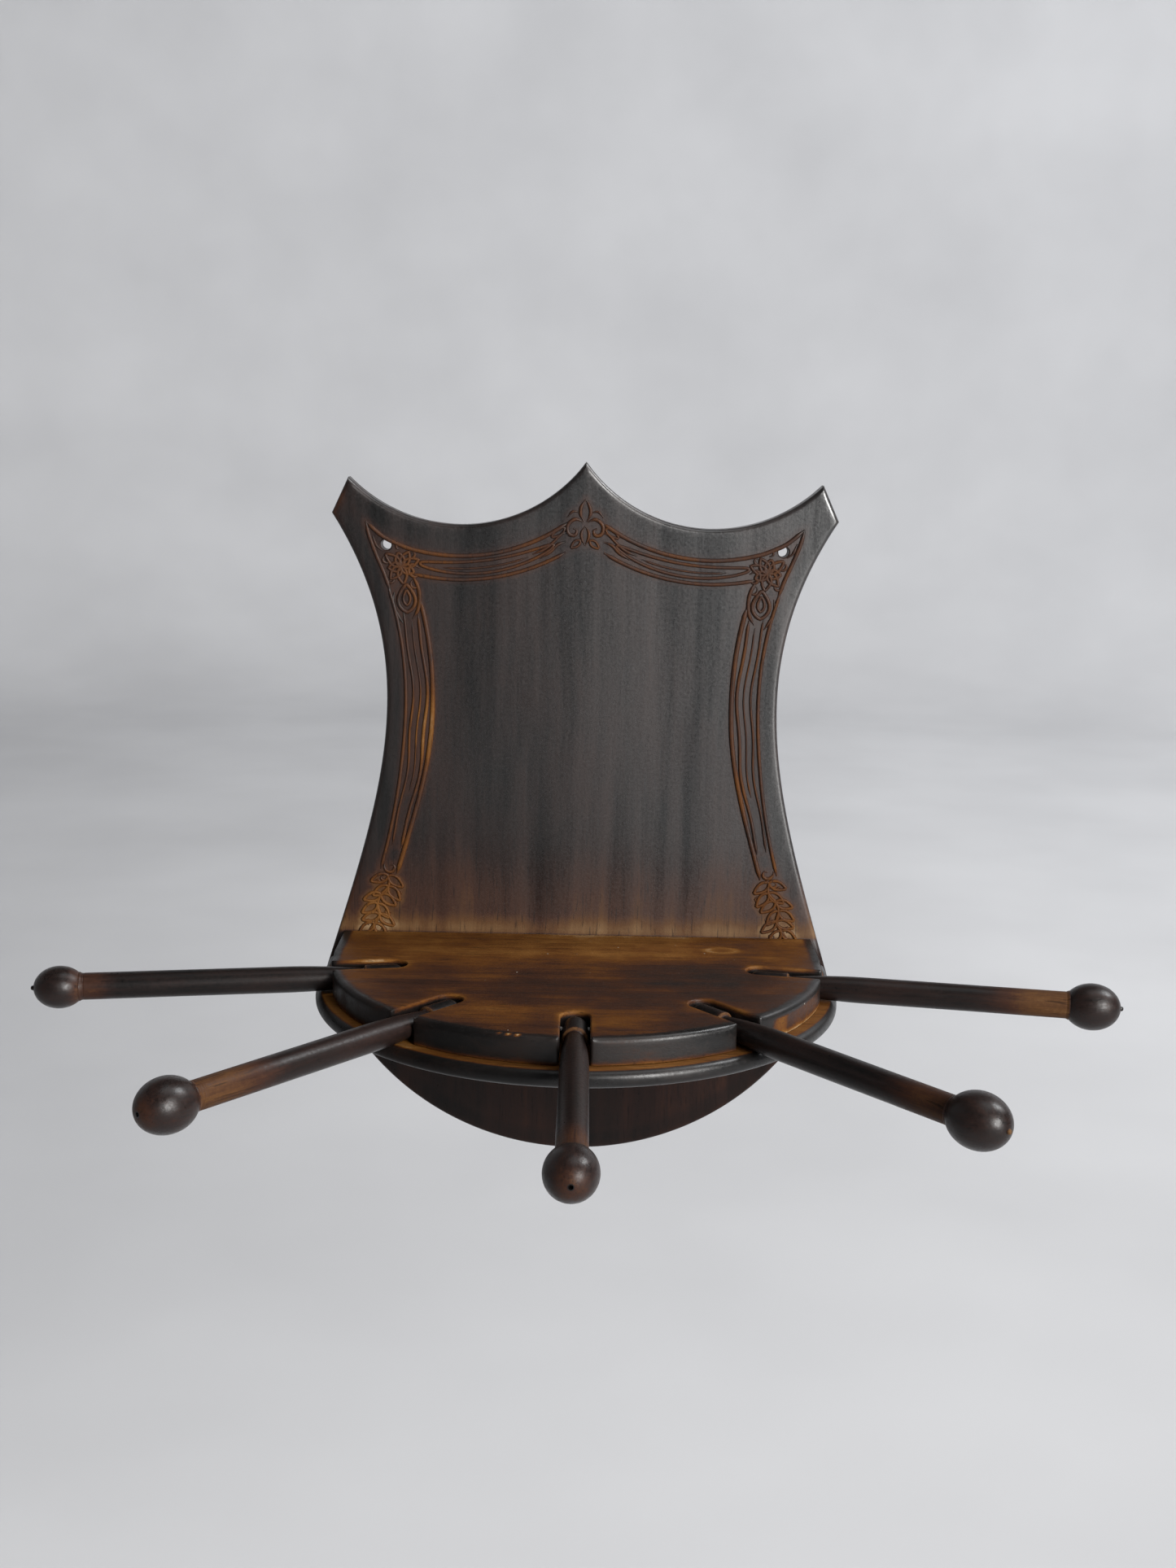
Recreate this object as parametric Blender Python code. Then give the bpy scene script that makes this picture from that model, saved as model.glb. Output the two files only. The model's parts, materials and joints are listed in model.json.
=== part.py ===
"""Wall-hung wooden rack: a shield-shaped board with a round shelf that holds five folding arms.

Metres, +Z up, the front faces -Y. The origin lies on the back of the board, level with the
top of the shelf. The arms point outward and level at rest, and each folds up about its pin.
"""

import math

import bmesh
import bpy
from mathutils import Matrix, Vector

MM = 0.001
GAP = 0.3 * MM  # between pieces that touch

# Backboard, front view (x, z): clipped corner, scallop and waisted side, mirrored about x = 0.
BOARD_THICK = 9.5 * MM
BOARD_BEVEL = 1.5 * MM
APEX_Z = 205.0 * MM
CORNER_TOP = Vector((100.0, 197.0)) * MM
CORNER_SIDE = Vector((107.0, 182.0)) * MM
SCALLOP_SAG = 23.0 * MM
WAIST_HANDLES = (Vector((65.5, 116.5)) * MM, Vector((88.0, 57.0)) * MM)
HEM_Z = -20.0 * MM  # where the waisted side meets the round bottom
BOTTOM_RADIUS = 118.0 * MM
BOTTOM_CENTRE_Z = 18.0 * MM
HANG_HOLE = Vector((84.0, 169.0)) * MM
HANG_HOLE_RADIUS = 2.25 * MM

# Shelf: two D-shaped plates, a half disc about one upright axis and straight sides behind it.
SHELF_AXIS_Y = -(BOARD_THICK + 35.0 * MM)
SHELF_BACK_Y = -(BOARD_THICK + GAP)
SLOTTED_RADIUS = 102.5 * MM
SLOTTED_THICK = 10.5 * MM
SLOTTED_ROUND = 2.2 * MM
LOWER_RADIUS = 109.0 * MM
LOWER_THICK = 6.8 * MM
LOWER_NOSE = 3.1 * MM
LOWER_TOP = -(SLOTTED_THICK + GAP)
LOWER_BASE = LOWER_TOP - LOWER_THICK

# Arms: along each arm's own X from its pivot come a head, a neck, a rod and a knob.
ARM_ANGLES = [math.radians(40.0 * step) for step in (-2, -1, 0, 1, 2)]
PIVOT_RADIUS = 77.0 * MM
HEAD_RADIUS = 5.0 * MM
HEAD_LENGTH = 12.0 * MM
NECK_RADIUS = 3.7 * MM
ROD_RADIUS = 5.4 * MM
SWELL_END = 44.0 * MM
KNOB_RADII = [r * MM for r in (8.5, 9.8, 9.0, 10.1, 9.4)]  # turned by hand, no two alike
KNOB_LENGTHENING = 1.2  # an egg's half length over its radius
KNOB_CENTRE = 133.5 * MM
NUB_RADIUS = 1.1 * MM
NUB_LENGTH = 1.0 * MM
PIVOT_Z = LOWER_TOP + GAP + HEAD_RADIUS
SLOT_HALF_WIDTH = HEAD_RADIUS + 0.7 * MM

# Pivot pins, each in a groove that is open below.
PIN_RADIUS = 1.2 * MM
PIN_HALF_LENGTH = SLOT_HALF_WIDTH + 7.0 * MM

# Countersunk screws.
SCREW_RADIUS = 1.8 * MM
SCREW_HEAD_RADIUS = 3.6 * MM
SCREW_HEAD_DEPTH = 2.2 * MM
SCREW_SLOT = 0.8 * MM
SCREW_SUNK = 0.4 * MM
BOARD_SCREW_X = (-66.0 * MM, -22.0 * MM, 22.0 * MM, 66.0 * MM)
BOARD_SCREW_Z = -0.5 * SLOTTED_THICK
BOARD_SCREW_LENGTH = 25.0 * MM
PLATE_SCREW_LENGTH = 14.5 * MM
PLATE_SCREWS = [  # plan places: two near the board, two between the middle slots
    (side * across, SHELF_AXIS_Y + ahead)
    for across, ahead in ((34.0 * MM, 11.0 * MM), (29.0 * MM, -79.0 * MM))
    for side in (-1, 1)
]

ROUND_STEPS = 20
SMALL_ROUND_STEPS = 14
OUTSIDE = 1.0 * MM  # how far a cutter stands out of the piece that it cuts


def clear_scene():
    for obj in list(bpy.data.objects):
        bpy.data.objects.remove(obj, do_unlink=True)


def make_material(name, colour, roughness, metallic=0.0):
    material = bpy.data.materials.new(name)
    material.use_nodes = True
    shader = material.node_tree.nodes["Principled BSDF"]
    shader.inputs["Base Color"].default_value = (*colour, 1.0)
    shader.inputs["Roughness"].default_value = roughness
    shader.inputs["Metallic"].default_value = metallic
    return material


def make_object(name, mesh, material=None, parent=None):
    obj = bpy.data.objects.new(name, mesh)
    bpy.context.scene.collection.objects.link(obj)
    obj.parent = parent
    if material:
        mesh.materials.clear()
        mesh.materials.append(material)
    return obj


def mesh_from(bm, name, smooth_angle=math.radians(35.0)):
    bmesh.ops.recalc_face_normals(bm, faces=bm.faces)
    mesh = bpy.data.meshes.new(name)
    bm.to_mesh(mesh)
    bm.free()
    mesh.shade_smooth()
    mesh.set_sharp_from_angle(angle=smooth_angle)
    return mesh


def cut(obj, cutter_mesh, parent=None):
    """Takes one cutter out of an object, and keeps the cutter as a hidden guide."""
    cutter = make_object(f"cutter_{cutter_mesh.name}", cutter_mesh, parent=parent)
    cutter.hide_render = True
    cutter.display_type = "WIRE"
    modifier = obj.modifiers.new(cutter.name, "BOOLEAN")
    modifier.operation = "DIFFERENCE"
    modifier.object = cutter


def arc(centre, radius, start, end, steps):
    """Points on an arc, both ends included. Angles are counted from +X towards the second axis."""
    angles = [start + (end - start) * step / steps for step in range(steps + 1)]
    return [centre + radius * Vector((math.cos(a), math.sin(a))) for a in angles]


def arc_with_sag(start, end, sag, steps):
    """Points on the arc from start to end that hangs below its chord by sag, both ends included."""
    chord = end - start
    radius = sag / 2 + chord.length_squared / (8 * sag)
    up = Vector((-chord.y, chord.x)).normalized()
    if up.y < 0:
        up.negate()
    centre = (start + end) / 2 + (radius - sag) * up
    first = math.atan2(start.y - centre.y, start.x - centre.x)
    last = math.atan2(end.y - centre.y, end.x - centre.x)
    return arc(centre, radius, first, last, steps)


def bezier(start, handles, end, steps):
    """Points on a cubic curve, both ends included."""
    points = []
    for step in range(steps + 1):
        t = step / steps
        u = 1 - t
        near, far = handles
        points.append(u**3 * start + 3 * u * u * t * near + 3 * u * t * t * far + t**3 * end)
    return points


def extruded(name, outline, thick, edge, to_round, segments=2):
    """A level plate from a closed plan outline, its underside at z = 0.

    The edges that pass the test to_round get a rounded bevel that is edge wide.
    """
    bm = bmesh.new()
    face = bm.faces.new([bm.verts.new((p.x, p.y, 0.0)) for p in outline])
    made = bmesh.ops.extrude_face_region(bm, geom=[face])["geom"]
    moved = [item for item in made if isinstance(item, bmesh.types.BMVert)]
    bmesh.ops.translate(bm, verts=moved, vec=(0.0, 0.0, thick))
    rim = [e for e in bm.edges if to_round(e)]
    bmesh.ops.bevel(
        bm, geom=rim, offset=edge, segments=segments, profile=0.5, affect="EDGES"
    )
    return mesh_from(bm, name)


def turned(name, profile, axis="X", steps=ROUND_STEPS):
    """A turned piece from (distance along the axis, radius) points, from one pole to the other."""
    bm = bmesh.new()
    ends = {0, len(profile) - 1}
    rings = []
    for index, (along, radius) in enumerate(profile):
        if index in ends:
            rings.append([bm.verts.new((along, 0, 0))])
            continue
        ring = []
        for step in range(steps):
            angle = 2 * math.pi * step / steps
            ring.append(bm.verts.new((along, radius * math.cos(angle), radius * math.sin(angle))))
        rings.append(ring)
    for near, far in zip(rings, rings[1:]):
        for step in range(steps):
            after = (step + 1) % steps
            if len(near) == 1:
                bm.faces.new((near[0], far[after], far[step]))
            elif len(far) == 1:
                bm.faces.new((near[step], near[after], far[0]))
            else:
                bm.faces.new((near[step], near[after], far[after], far[step]))
    if axis == "Y":
        bmesh.ops.rotate(bm, verts=bm.verts, matrix=Matrix.Rotation(math.pi / 2, 3, "Z"))
    if axis == "Z":
        bmesh.ops.rotate(bm, verts=bm.verts, matrix=Matrix.Rotation(-math.pi / 2, 3, "Y"))
    return mesh_from(bm, name)


def rod_mesh(name, radius, low, high, axis="X"):
    profile = [(low, 0.0), (low, radius), (high, radius), (high, 0.0)]
    return turned(name, profile, axis, SMALL_ROUND_STEPS)


def box_mesh(name, low, high):
    bm = bmesh.new()
    bmesh.ops.create_cube(bm, size=1.0)
    size = Vector(high) - Vector(low)
    bmesh.ops.scale(bm, verts=bm.verts, vec=size)
    bmesh.ops.translate(bm, verts=bm.verts, vec=(Vector(low) + Vector(high)) / 2)
    return mesh_from(bm, name)


def mirrored(half):
    """A closed outline from its half at x >= 0, whose two end points lie on x = 0."""
    return half + [Vector((-p.x, p.y)) for p in reversed(half[1:-1])]


def board_outline():
    hem = Vector((0.0, HEM_Z))
    hem.x = math.sqrt(BOTTOM_RADIUS**2 - (HEM_Z - BOTTOM_CENTRE_Z) ** 2)
    bottom_start = math.atan2(HEM_Z - BOTTOM_CENTRE_Z, hem.x)
    scallop = arc_with_sag(Vector((0.0, APEX_Z)), CORNER_TOP, SCALLOP_SAG, 18)
    side = bezier(CORNER_SIDE, WAIST_HANDLES, hem, 22)
    centre = Vector((0.0, BOTTOM_CENTRE_Z))
    bottom = arc(centre, BOTTOM_RADIUS, bottom_start, -math.pi / 2, 20)
    return mirrored(scallop + side + bottom[1:])


def screw_profile(length):
    """Slotted countersunk screw along its axis, the head's flat face at 0 and the tip at length."""
    taper = 3.0 * MM
    return [
        (0.0, 0.0),
        (0.0, SCREW_HEAD_RADIUS),
        (0.3 * MM, SCREW_HEAD_RADIUS),
        (SCREW_HEAD_DEPTH, SCREW_RADIUS),
        (length - taper, SCREW_RADIUS),
        (length - 0.3 * MM, 0.4 * MM),
        (length, 0.0),
    ]


def screw_hole_profile(length):
    """The hole for the same screw, a gap wider all round and open at the head's end."""
    return [
        (-OUTSIDE, 0.0),
        (-OUTSIDE, SCREW_HEAD_RADIUS + GAP),
        (0.3 * MM, SCREW_HEAD_RADIUS + GAP),
        (SCREW_HEAD_DEPTH, SCREW_RADIUS + GAP),
        (length + GAP, SCREW_RADIUS + GAP),
        (length + GAP, 0.0),
    ]


def board_screw_places():
    """Where each screw's head lies on the back of the board. It points to -Y."""
    turn = Matrix.Rotation(-math.pi / 2, 4, "Z")
    return [
        Matrix.Translation((x, -SCREW_SUNK, BOARD_SCREW_Z)) @ turn for x in BOARD_SCREW_X
    ]


def plate_screw_places():
    """Where each screw's head lies under the lower plate. It points up."""
    turn = Matrix.Rotation(-math.pi / 2, 4, "Y")
    return [Matrix.Translation((x, y, LOWER_BASE + SCREW_SUNK)) @ turn for x, y in PLATE_SCREWS]


def cut_screw_holes(obj, places, length, label):
    for number, place in enumerate(places, 1):
        name = f"{obj.name}_{label}_{number}"
        hole = turned(name, screw_hole_profile(length), steps=SMALL_ROUND_STEPS)
        hole.transform(place)
        cut(obj, hole)


def make_screws(places, length, label, material):
    for number, place in enumerate(places, 1):
        name = f"{label}_{number}"
        mesh = turned(name, screw_profile(length), steps=SMALL_ROUND_STEPS)
        screw = make_object(name, mesh, material)
        screw.matrix_world = place
        driver_slot = box_mesh(
            f"{name}_driver_slot",
            (-OUTSIDE, -SCREW_HEAD_RADIUS - OUTSIDE, -SCREW_SLOT / 2),
            (0.9 * MM, SCREW_HEAD_RADIUS + OUTSIDE, SCREW_SLOT / 2),
        )
        driver_slot.transform(place)
        cut(screw, driver_slot)


def make_backboard(material):
    def at_front(edge):
        return all(v.co.z > BOARD_THICK - GAP for v in edge.verts)

    mesh = extruded("backboard", board_outline(), BOARD_THICK, BOARD_BEVEL, at_front)
    mesh.transform(Matrix.Rotation(math.pi / 2, 4, "X"))
    board = make_object("backboard", mesh, material)
    for side, label in ((-1, "left"), (1, "right")):
        hole = rod_mesh(
            f"hang_hole_{label}", HANG_HOLE_RADIUS, -BOARD_THICK - OUTSIDE, OUTSIDE, "Y"
        )
        hole.transform(Matrix.Translation((side * HANG_HOLE.x, 0.0, HANG_HOLE.y)))
        cut(board, hole)
    cut_screw_holes(board, board_screw_places(), BOARD_SCREW_LENGTH, "screw_hole")


def around(angle, out, aside=0.0):
    """Plan point at an angle from -Y about the shelf's axis, out from it and aside of the ray."""
    outward = Vector((math.sin(angle), -math.cos(angle)))
    across = Vector((math.cos(angle), math.sin(angle)))
    return Vector((0.0, SHELF_AXIS_Y)) + out * outward + aside * across


def rim_points(radius, first, last):
    """Plan points on a plate's rim between two angles, about one for every four degrees."""
    steps = max(1, round(math.degrees(last - first) / 4))
    return [around(first + (last - first) * step / steps, radius) for step in range(steps + 1)]


def plate_back(radius):
    """The two corners where a plate's straight sides meet the board, in outline order."""
    return [Vector((radius, SHELF_BACK_Y)), Vector((-radius, SHELF_BACK_Y))]


def slotted_outline():
    end = math.pi / 2
    half_mouth = math.asin(SLOT_HALF_WIDTH / SLOTTED_RADIUS)
    outline = []
    start = -end
    for angle in ARM_ANGLES:
        outline += rim_points(SLOTTED_RADIUS, start, angle - half_mouth)
        for step in range(11):
            turn = math.pi * step / 10
            out = PIVOT_RADIUS - SLOT_HALF_WIDTH * math.sin(turn)
            outline.append(around(angle, out, -SLOT_HALF_WIDTH * math.cos(turn)))
        start = angle + half_mouth
    return outline + rim_points(SLOTTED_RADIUS, start, end) + plate_back(SLOTTED_RADIUS)


def on_rim(radius, lowest):
    """A test that passes the edges along a plate's D-shaped rim, from a height up."""
    axis = Vector((0.0, SHELF_AXIS_Y))

    def passes(vert):
        if vert.co.z < lowest:
            return False
        if vert.co.y > SHELF_AXIS_Y:
            return abs(abs(vert.co.x) - radius) < GAP / 10
        return abs((vert.co.xy - axis).length - radius) < GAP / 10

    def test(edge):
        first, second = edge.verts
        level = abs(first.co.z - second.co.z) < GAP
        across = abs(first.co.x - second.co.x) > radius
        return level and not across and passes(first) and passes(second)

    return test


def arm_frame(angle):
    """Where an arm's pivot is, with the frame's X pointing out along the arm."""
    spot = around(angle, PIVOT_RADIUS)
    place = Matrix.Translation((spot.x, spot.y, PIVOT_Z))
    return place @ Matrix.Rotation(angle - math.pi / 2, 4, "Z")


def make_slotted_plate(material):
    upper_rim = on_rim(SLOTTED_RADIUS, SLOTTED_THICK - GAP)
    mesh = extruded(
        "slotted_plate", slotted_outline(), SLOTTED_THICK, SLOTTED_ROUND, upper_rim
    )
    mesh.transform(Matrix.Translation((0.0, 0.0, -SLOTTED_THICK)))
    plate = make_object("slotted_plate", mesh, material)
    half_groove = PIN_RADIUS + GAP
    for number, angle in enumerate(ARM_ANGLES, 1):
        groove = box_mesh(
            f"pin_groove_{number}",
            (-half_groove, -PIN_HALF_LENGTH - GAP, -SLOTTED_THICK),
            (half_groove, PIN_HALF_LENGTH + GAP, half_groove),
        )
        groove.transform(arm_frame(angle))
        cut(plate, groove)
    cut_screw_holes(plate, board_screw_places(), BOARD_SCREW_LENGTH, "back_hole")
    cut_screw_holes(plate, plate_screw_places(), PLATE_SCREW_LENGTH, "pilot_hole")


def make_lower_plate(material):
    outline = rim_points(LOWER_RADIUS, -math.pi / 2, math.pi / 2) + plate_back(LOWER_RADIUS)
    whole_rim = on_rim(LOWER_RADIUS, -GAP)
    mesh = extruded("lower_plate", outline, LOWER_THICK, LOWER_NOSE, whole_rim, segments=3)
    mesh.transform(Matrix.Translation((0.0, 0.0, LOWER_BASE)))
    plate = make_object("lower_plate", mesh, material)
    cut_screw_holes(plate, plate_screw_places(), PLATE_SCREW_LENGTH, "screw_hole")


def arm_profile(knob_radius):
    """One turned arm: domed head, shoulder, neck, swelling rod, fillet, egg knob and nub."""
    points = [(-HEAD_RADIUS, 0.0)]
    for step in range(1, 5):
        turn = math.pi / 2 * step / 4
        points.append((-HEAD_RADIUS * math.cos(turn), HEAD_RADIUS * math.sin(turn)))
    points.append((HEAD_LENGTH - 1.0 * MM, HEAD_RADIUS))
    points.append((HEAD_LENGTH, HEAD_RADIUS - 0.6 * MM))
    neck = HEAD_LENGTH + 0.6 * MM
    for step in range(6):
        t = step / 5
        swell = t * (2 - t) * (ROD_RADIUS - NECK_RADIUS)
        points.append((neck + t * (SWELL_END - neck), NECK_RADIUS + swell))
    half_length = KNOB_LENGTHENING * knob_radius
    join = math.asin(ROD_RADIUS / knob_radius)
    knob_start = KNOB_CENTRE - half_length * math.cos(join)
    points.append((knob_start - 2.0 * MM, ROD_RADIUS))
    points.append((knob_start, ROD_RADIUS + 0.3 * MM))
    first_turn = join + 0.2
    last_turn = math.pi - math.asin(NUB_RADIUS / knob_radius)
    for step in range(10):
        turn = first_turn + (last_turn - first_turn) * step / 9
        points.append((KNOB_CENTRE - half_length * math.cos(turn), knob_radius * math.sin(turn)))
    tip = KNOB_CENTRE + half_length
    points.append((tip + NUB_LENGTH, 0.6 * NUB_RADIUS))
    points.append((tip + NUB_LENGTH, 0.0))
    return points


def make_arm(number, angle, knob_radius, material):
    pivot = bpy.data.objects.new(f"pivot_{number}", None)
    bpy.context.scene.collection.objects.link(pivot)
    pivot.matrix_world = arm_frame(angle)
    name = f"arm_{number}"
    arm = make_object(name, turned(name, arm_profile(knob_radius)), material, pivot)
    reach = SLOT_HALF_WIDTH + OUTSIDE
    cut(arm, rod_mesh(f"{name}_bore", PIN_RADIUS + GAP, -reach, reach, "Y"), pivot)
    return pivot


def make_pin(number, pivot, material):
    name = f"pivot_pin_{number}"
    mesh = rod_mesh(name, PIN_RADIUS, -PIN_HALF_LENGTH, PIN_HALF_LENGTH, "Y")
    make_object(name, mesh, material, pivot)


def main():
    clear_scene()
    board_wood = make_material("board_wood", (0.060, 0.045, 0.040), 0.42)
    shelf_wood = make_material("shelf_wood", (0.120, 0.055, 0.028), 0.38)
    lower_wood = make_material("lower_wood", (0.035, 0.026, 0.024), 0.35)
    arm_wood = make_material("arm_wood", (0.050, 0.034, 0.026), 0.45)
    pin_steel = make_material("pin_steel", (0.300, 0.290, 0.280), 0.45, 1.0)
    screw_steel = make_material("screw_steel", (0.360, 0.340, 0.300), 0.40, 1.0)

    make_backboard(board_wood)
    make_slotted_plate(shelf_wood)
    make_lower_plate(lower_wood)
    for number, (angle, knob_radius) in enumerate(zip(ARM_ANGLES, KNOB_RADII), 1):
        pivot = make_arm(number, angle, knob_radius, arm_wood)
        make_pin(number, pivot, pin_steel)
    make_screws(board_screw_places(), BOARD_SCREW_LENGTH, "board_screw", screw_steel)
    make_screws(plate_screw_places(), PLATE_SCREW_LENGTH, "plate_screw", screw_steel)


main()
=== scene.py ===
"""Looks of the wall-hung folding-arm rack: fine meshes, procedural woods, camera, light and floor.

Metres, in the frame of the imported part: the origin is on the back of the board, level with the
top of the shelf, +Z up, and the front faces -Y. Lengths below are written in millimetres times MM.
"""

import json
import math
from collections import namedtuple

import bmesh
import bpy
import numpy as np
from mathutils import Matrix, Vector
from mathutils.geometry import delaunay_2d_cdt
from mathutils.kdtree import KDTree


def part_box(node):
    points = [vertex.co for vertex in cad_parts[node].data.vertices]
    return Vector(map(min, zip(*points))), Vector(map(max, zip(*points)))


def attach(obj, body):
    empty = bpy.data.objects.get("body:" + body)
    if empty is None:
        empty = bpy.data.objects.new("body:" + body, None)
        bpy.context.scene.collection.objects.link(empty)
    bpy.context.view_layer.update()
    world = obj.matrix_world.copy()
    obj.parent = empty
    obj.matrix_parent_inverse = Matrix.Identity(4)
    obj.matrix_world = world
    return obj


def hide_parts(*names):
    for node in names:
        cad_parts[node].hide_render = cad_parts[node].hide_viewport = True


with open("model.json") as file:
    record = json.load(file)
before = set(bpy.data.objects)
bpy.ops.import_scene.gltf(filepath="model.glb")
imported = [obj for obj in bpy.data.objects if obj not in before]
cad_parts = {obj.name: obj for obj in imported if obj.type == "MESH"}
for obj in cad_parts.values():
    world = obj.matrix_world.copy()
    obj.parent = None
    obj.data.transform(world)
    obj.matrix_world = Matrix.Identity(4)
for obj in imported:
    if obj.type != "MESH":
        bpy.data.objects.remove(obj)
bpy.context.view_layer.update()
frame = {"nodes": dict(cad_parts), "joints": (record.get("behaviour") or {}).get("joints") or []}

MM = 0.001

# Sizes and places read from the frame.
JOINTS = {joint["child"]: joint for joint in frame["joints"]}
ARMS = sorted(JOINTS)
BOARD_LOW, BOARD_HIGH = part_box("backboard")
BOARD_FRONT = BOARD_LOW.y
SLOTTED_LOW, SLOTTED_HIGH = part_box("slotted_plate")
LOWER_LOW, LOWER_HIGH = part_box("lower_plate")
SLOTTED_RADIUS = SLOTTED_HIGH.x
LOWER_RADIUS = LOWER_HIGH.x


def arm_angle(arm):
    """The way an arm points in plan, counted from -Y towards +X."""
    axis = JOINTS[arm]["axis"]
    return math.atan2(-axis[1], -axis[0])


PIVOT_RADIUS = JOINTS[ARMS[-1]]["pos_m"][0] / math.sin(arm_angle(ARMS[-1]))
SHELF_AXIS_Y = JOINTS[ARMS[2]]["pos_m"][1] + PIVOT_RADIUS

# Board outline, the CAD's own curves with finer steps.
CORNER_TOP = np.array((100.0, 197.0)) * MM
CORNER_SIDE = np.array((107.0, 182.0)) * MM
SCALLOP_SAG = 23.0 * MM
WAIST_HANDLES = (np.array((65.5, 116.5)) * MM, np.array((88.0, 57.0)) * MM)
HEM_Z = -20.0 * MM
BOTTOM_RADIUS = 118.0 * MM
HANG_HOLE = (84.0 * MM, 169.0 * MM)
HANG_HOLE_RADIUS = 2.25 * MM
BOARD_ROUND = 2.0 * MM
BACK_ROUND = 0.6 * MM

# Shelf plates and their slots.
SLOT_HALF_WIDTH = 5.7 * MM
SLOT_CORNER = 1.2 * MM
SLOT_ROUND = 0.8 * MM
SLOTTED_ROUND = 2.2 * MM
BACK_EDGE_ROUND = 0.15 * MM
LOWER_NOSE = 3.1 * MM

# Spacing of the points that fill the flat faces.
BOARD_MESH_STEP = 1.7 * MM
PLATE_MESH_STEP = 1.6 * MM

# Arms, along each arm's own X from its pivot.
HEAD_RADIUS = 5.0 * MM
HEAD_LENGTH = 12.0 * MM
NECK_RADIUS = 3.7 * MM
ROD_RADIUS = 5.4 * MM
SWELL_END = 44.0 * MM
KNOB_CENTRE = 133.5 * MM
KNOB_LENGTHENING = 1.2
NUB_RADIUS = 1.1 * MM
NUB_LENGTH = 1.0 * MM
TIP_HOLE_RADIUS = 0.8 * MM
TIP_HOLE_DEPTH = 2.0 * MM

# Countersunk screws.
SCREW_RADIUS = 1.8 * MM
SCREW_HEAD_RADIUS = 3.6 * MM
SCREW_HEAD_DEPTH = 2.2 * MM
SCREW_GAP = 0.3 * MM

# Relief border: raised strands on the front of the board.
STRAND_WIDTH = 1.8 * MM
STRAND_HEIGHT = 0.8 * MM
STRAND_ROOT = 0.15 * MM  # how deep a strand's foot sits in the board
BAND_OUTER = 13.0 * MM  # the band's two edges, inside the scallop
BAND_INNER = 23.0 * MM
SIDE_OUTER = 8.3 * MM  # and inside the waisted side
SIDE_INNER = 19.8 * MM

# Camera.
CAMERA_AT = Vector((1.8, -766.9, 216.3)) * MM
CAMERA_YAW = math.radians(0.11)
CAMERA_PITCH = math.radians(11.1)
CAMERA_ROLL = math.radians(1.13)
CAMERA_LENS = 40.9  # on the 36 mm long side

FLOOR_Z = -0.42


def unit(vectors):
    """Rows scaled to length 1."""
    return vectors / np.maximum(np.linalg.norm(vectors, axis=-1, keepdims=True), 1e-12)


def smooth(values, start, end):
    """0 before start, 1 after end and an S-curve between; start may be the larger."""
    t = np.clip((values - start) / (end - start), 0.0, 1.0)
    return t * t * (3.0 - 2.0 * t)


# ---------------------------------------------------------------- outlines


def arc(centre, radius, start, end, steps=200):
    """Points round part of a circle."""
    angles = np.linspace(start, end, steps + 1)
    return np.asarray(centre) + radius * np.column_stack([np.cos(angles), np.sin(angles)])


def bezier(start, handles, end, steps=300):
    """Points along a cubic curve."""
    t = np.linspace(0.0, 1.0, steps + 1)[:, None]
    u = 1.0 - t
    return u**3 * start + 3 * u * u * t * handles[0] + 3 * u * t * t * handles[1] + t**3 * end


def resample(points, spacing, clear_start=0.0, clear_end=0.0):
    """Points at even steps along a dense line, which may keep clear of a corner at either end."""
    steps = np.linalg.norm(np.diff(points, axis=0), axis=1)
    along = np.concatenate([[0.0], np.cumsum(steps)])
    total = along[-1]
    count = max(1, round((total - clear_start - clear_end) / spacing))
    inner = np.linspace(clear_start, total - clear_end, count + 1)
    places = np.unique(np.concatenate([[0.0], inner, [total]]))
    return np.column_stack([np.interp(places, along, points[:, k]) for k in (0, 1)])


def mirror_closed(half):
    """A closed outline from its right half, whose two ends lie on x = 0."""
    left = half[-2:0:-1] * (-1.0, 1.0)
    return np.vstack([half, left])


def scallop_circle():
    """Centre and radius of the right-hand scallop."""
    apex = np.array((0.0, BOARD_HIGH.z))
    chord = CORNER_TOP - apex
    length = np.linalg.norm(chord)
    radius = SCALLOP_SAG / 2 + length**2 / (8 * SCALLOP_SAG)
    up = np.array((-chord[1], chord[0])) / length
    return (apex + CORNER_TOP) / 2 + (radius - SCALLOP_SAG) * up, radius


SCALLOP_CENTRE, SCALLOP_RADIUS = scallop_circle()
BOTTOM_CENTRE_Z = BOARD_LOW.z + BOTTOM_RADIUS
HEM = np.array((math.sqrt(BOTTOM_RADIUS**2 - (HEM_Z - BOTTOM_CENTRE_Z) ** 2), HEM_Z))
SIDE = bezier(HEM, WAIST_HANDLES[::-1], CORNER_SIDE)


def board_outline():
    """Counter-clockwise in (x, z), from the lowest point."""
    hem_angle = math.atan2(HEM_Z - BOTTOM_CENTRE_Z, HEM[0])
    bottom = arc((0.0, BOTTOM_CENTRE_Z), BOTTOM_RADIUS, -math.pi / 2, hem_angle)
    first = math.atan2(CORNER_TOP[1] - SCALLOP_CENTRE[1], CORNER_TOP[0] - SCALLOP_CENTRE[0])
    last = math.atan2(BOARD_HIGH.z - SCALLOP_CENTRE[1], -SCALLOP_CENTRE[0]) - 2 * math.pi
    if last < first - 2 * math.pi:
        last += 2 * math.pi
    scallop = arc(SCALLOP_CENTRE, SCALLOP_RADIUS, first, last)
    clear = 4.6 * MM
    step = 2.0 * MM
    half = [
        resample(bottom, step),
        resample(SIDE, step, clear_end=clear)[1:],
        resample(np.array([CORNER_SIDE, CORNER_TOP]), step, clear, clear)[1:],
        resample(scallop, step, clear, clear)[1:],
    ]
    return mirror_closed(np.vstack(half))


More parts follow.
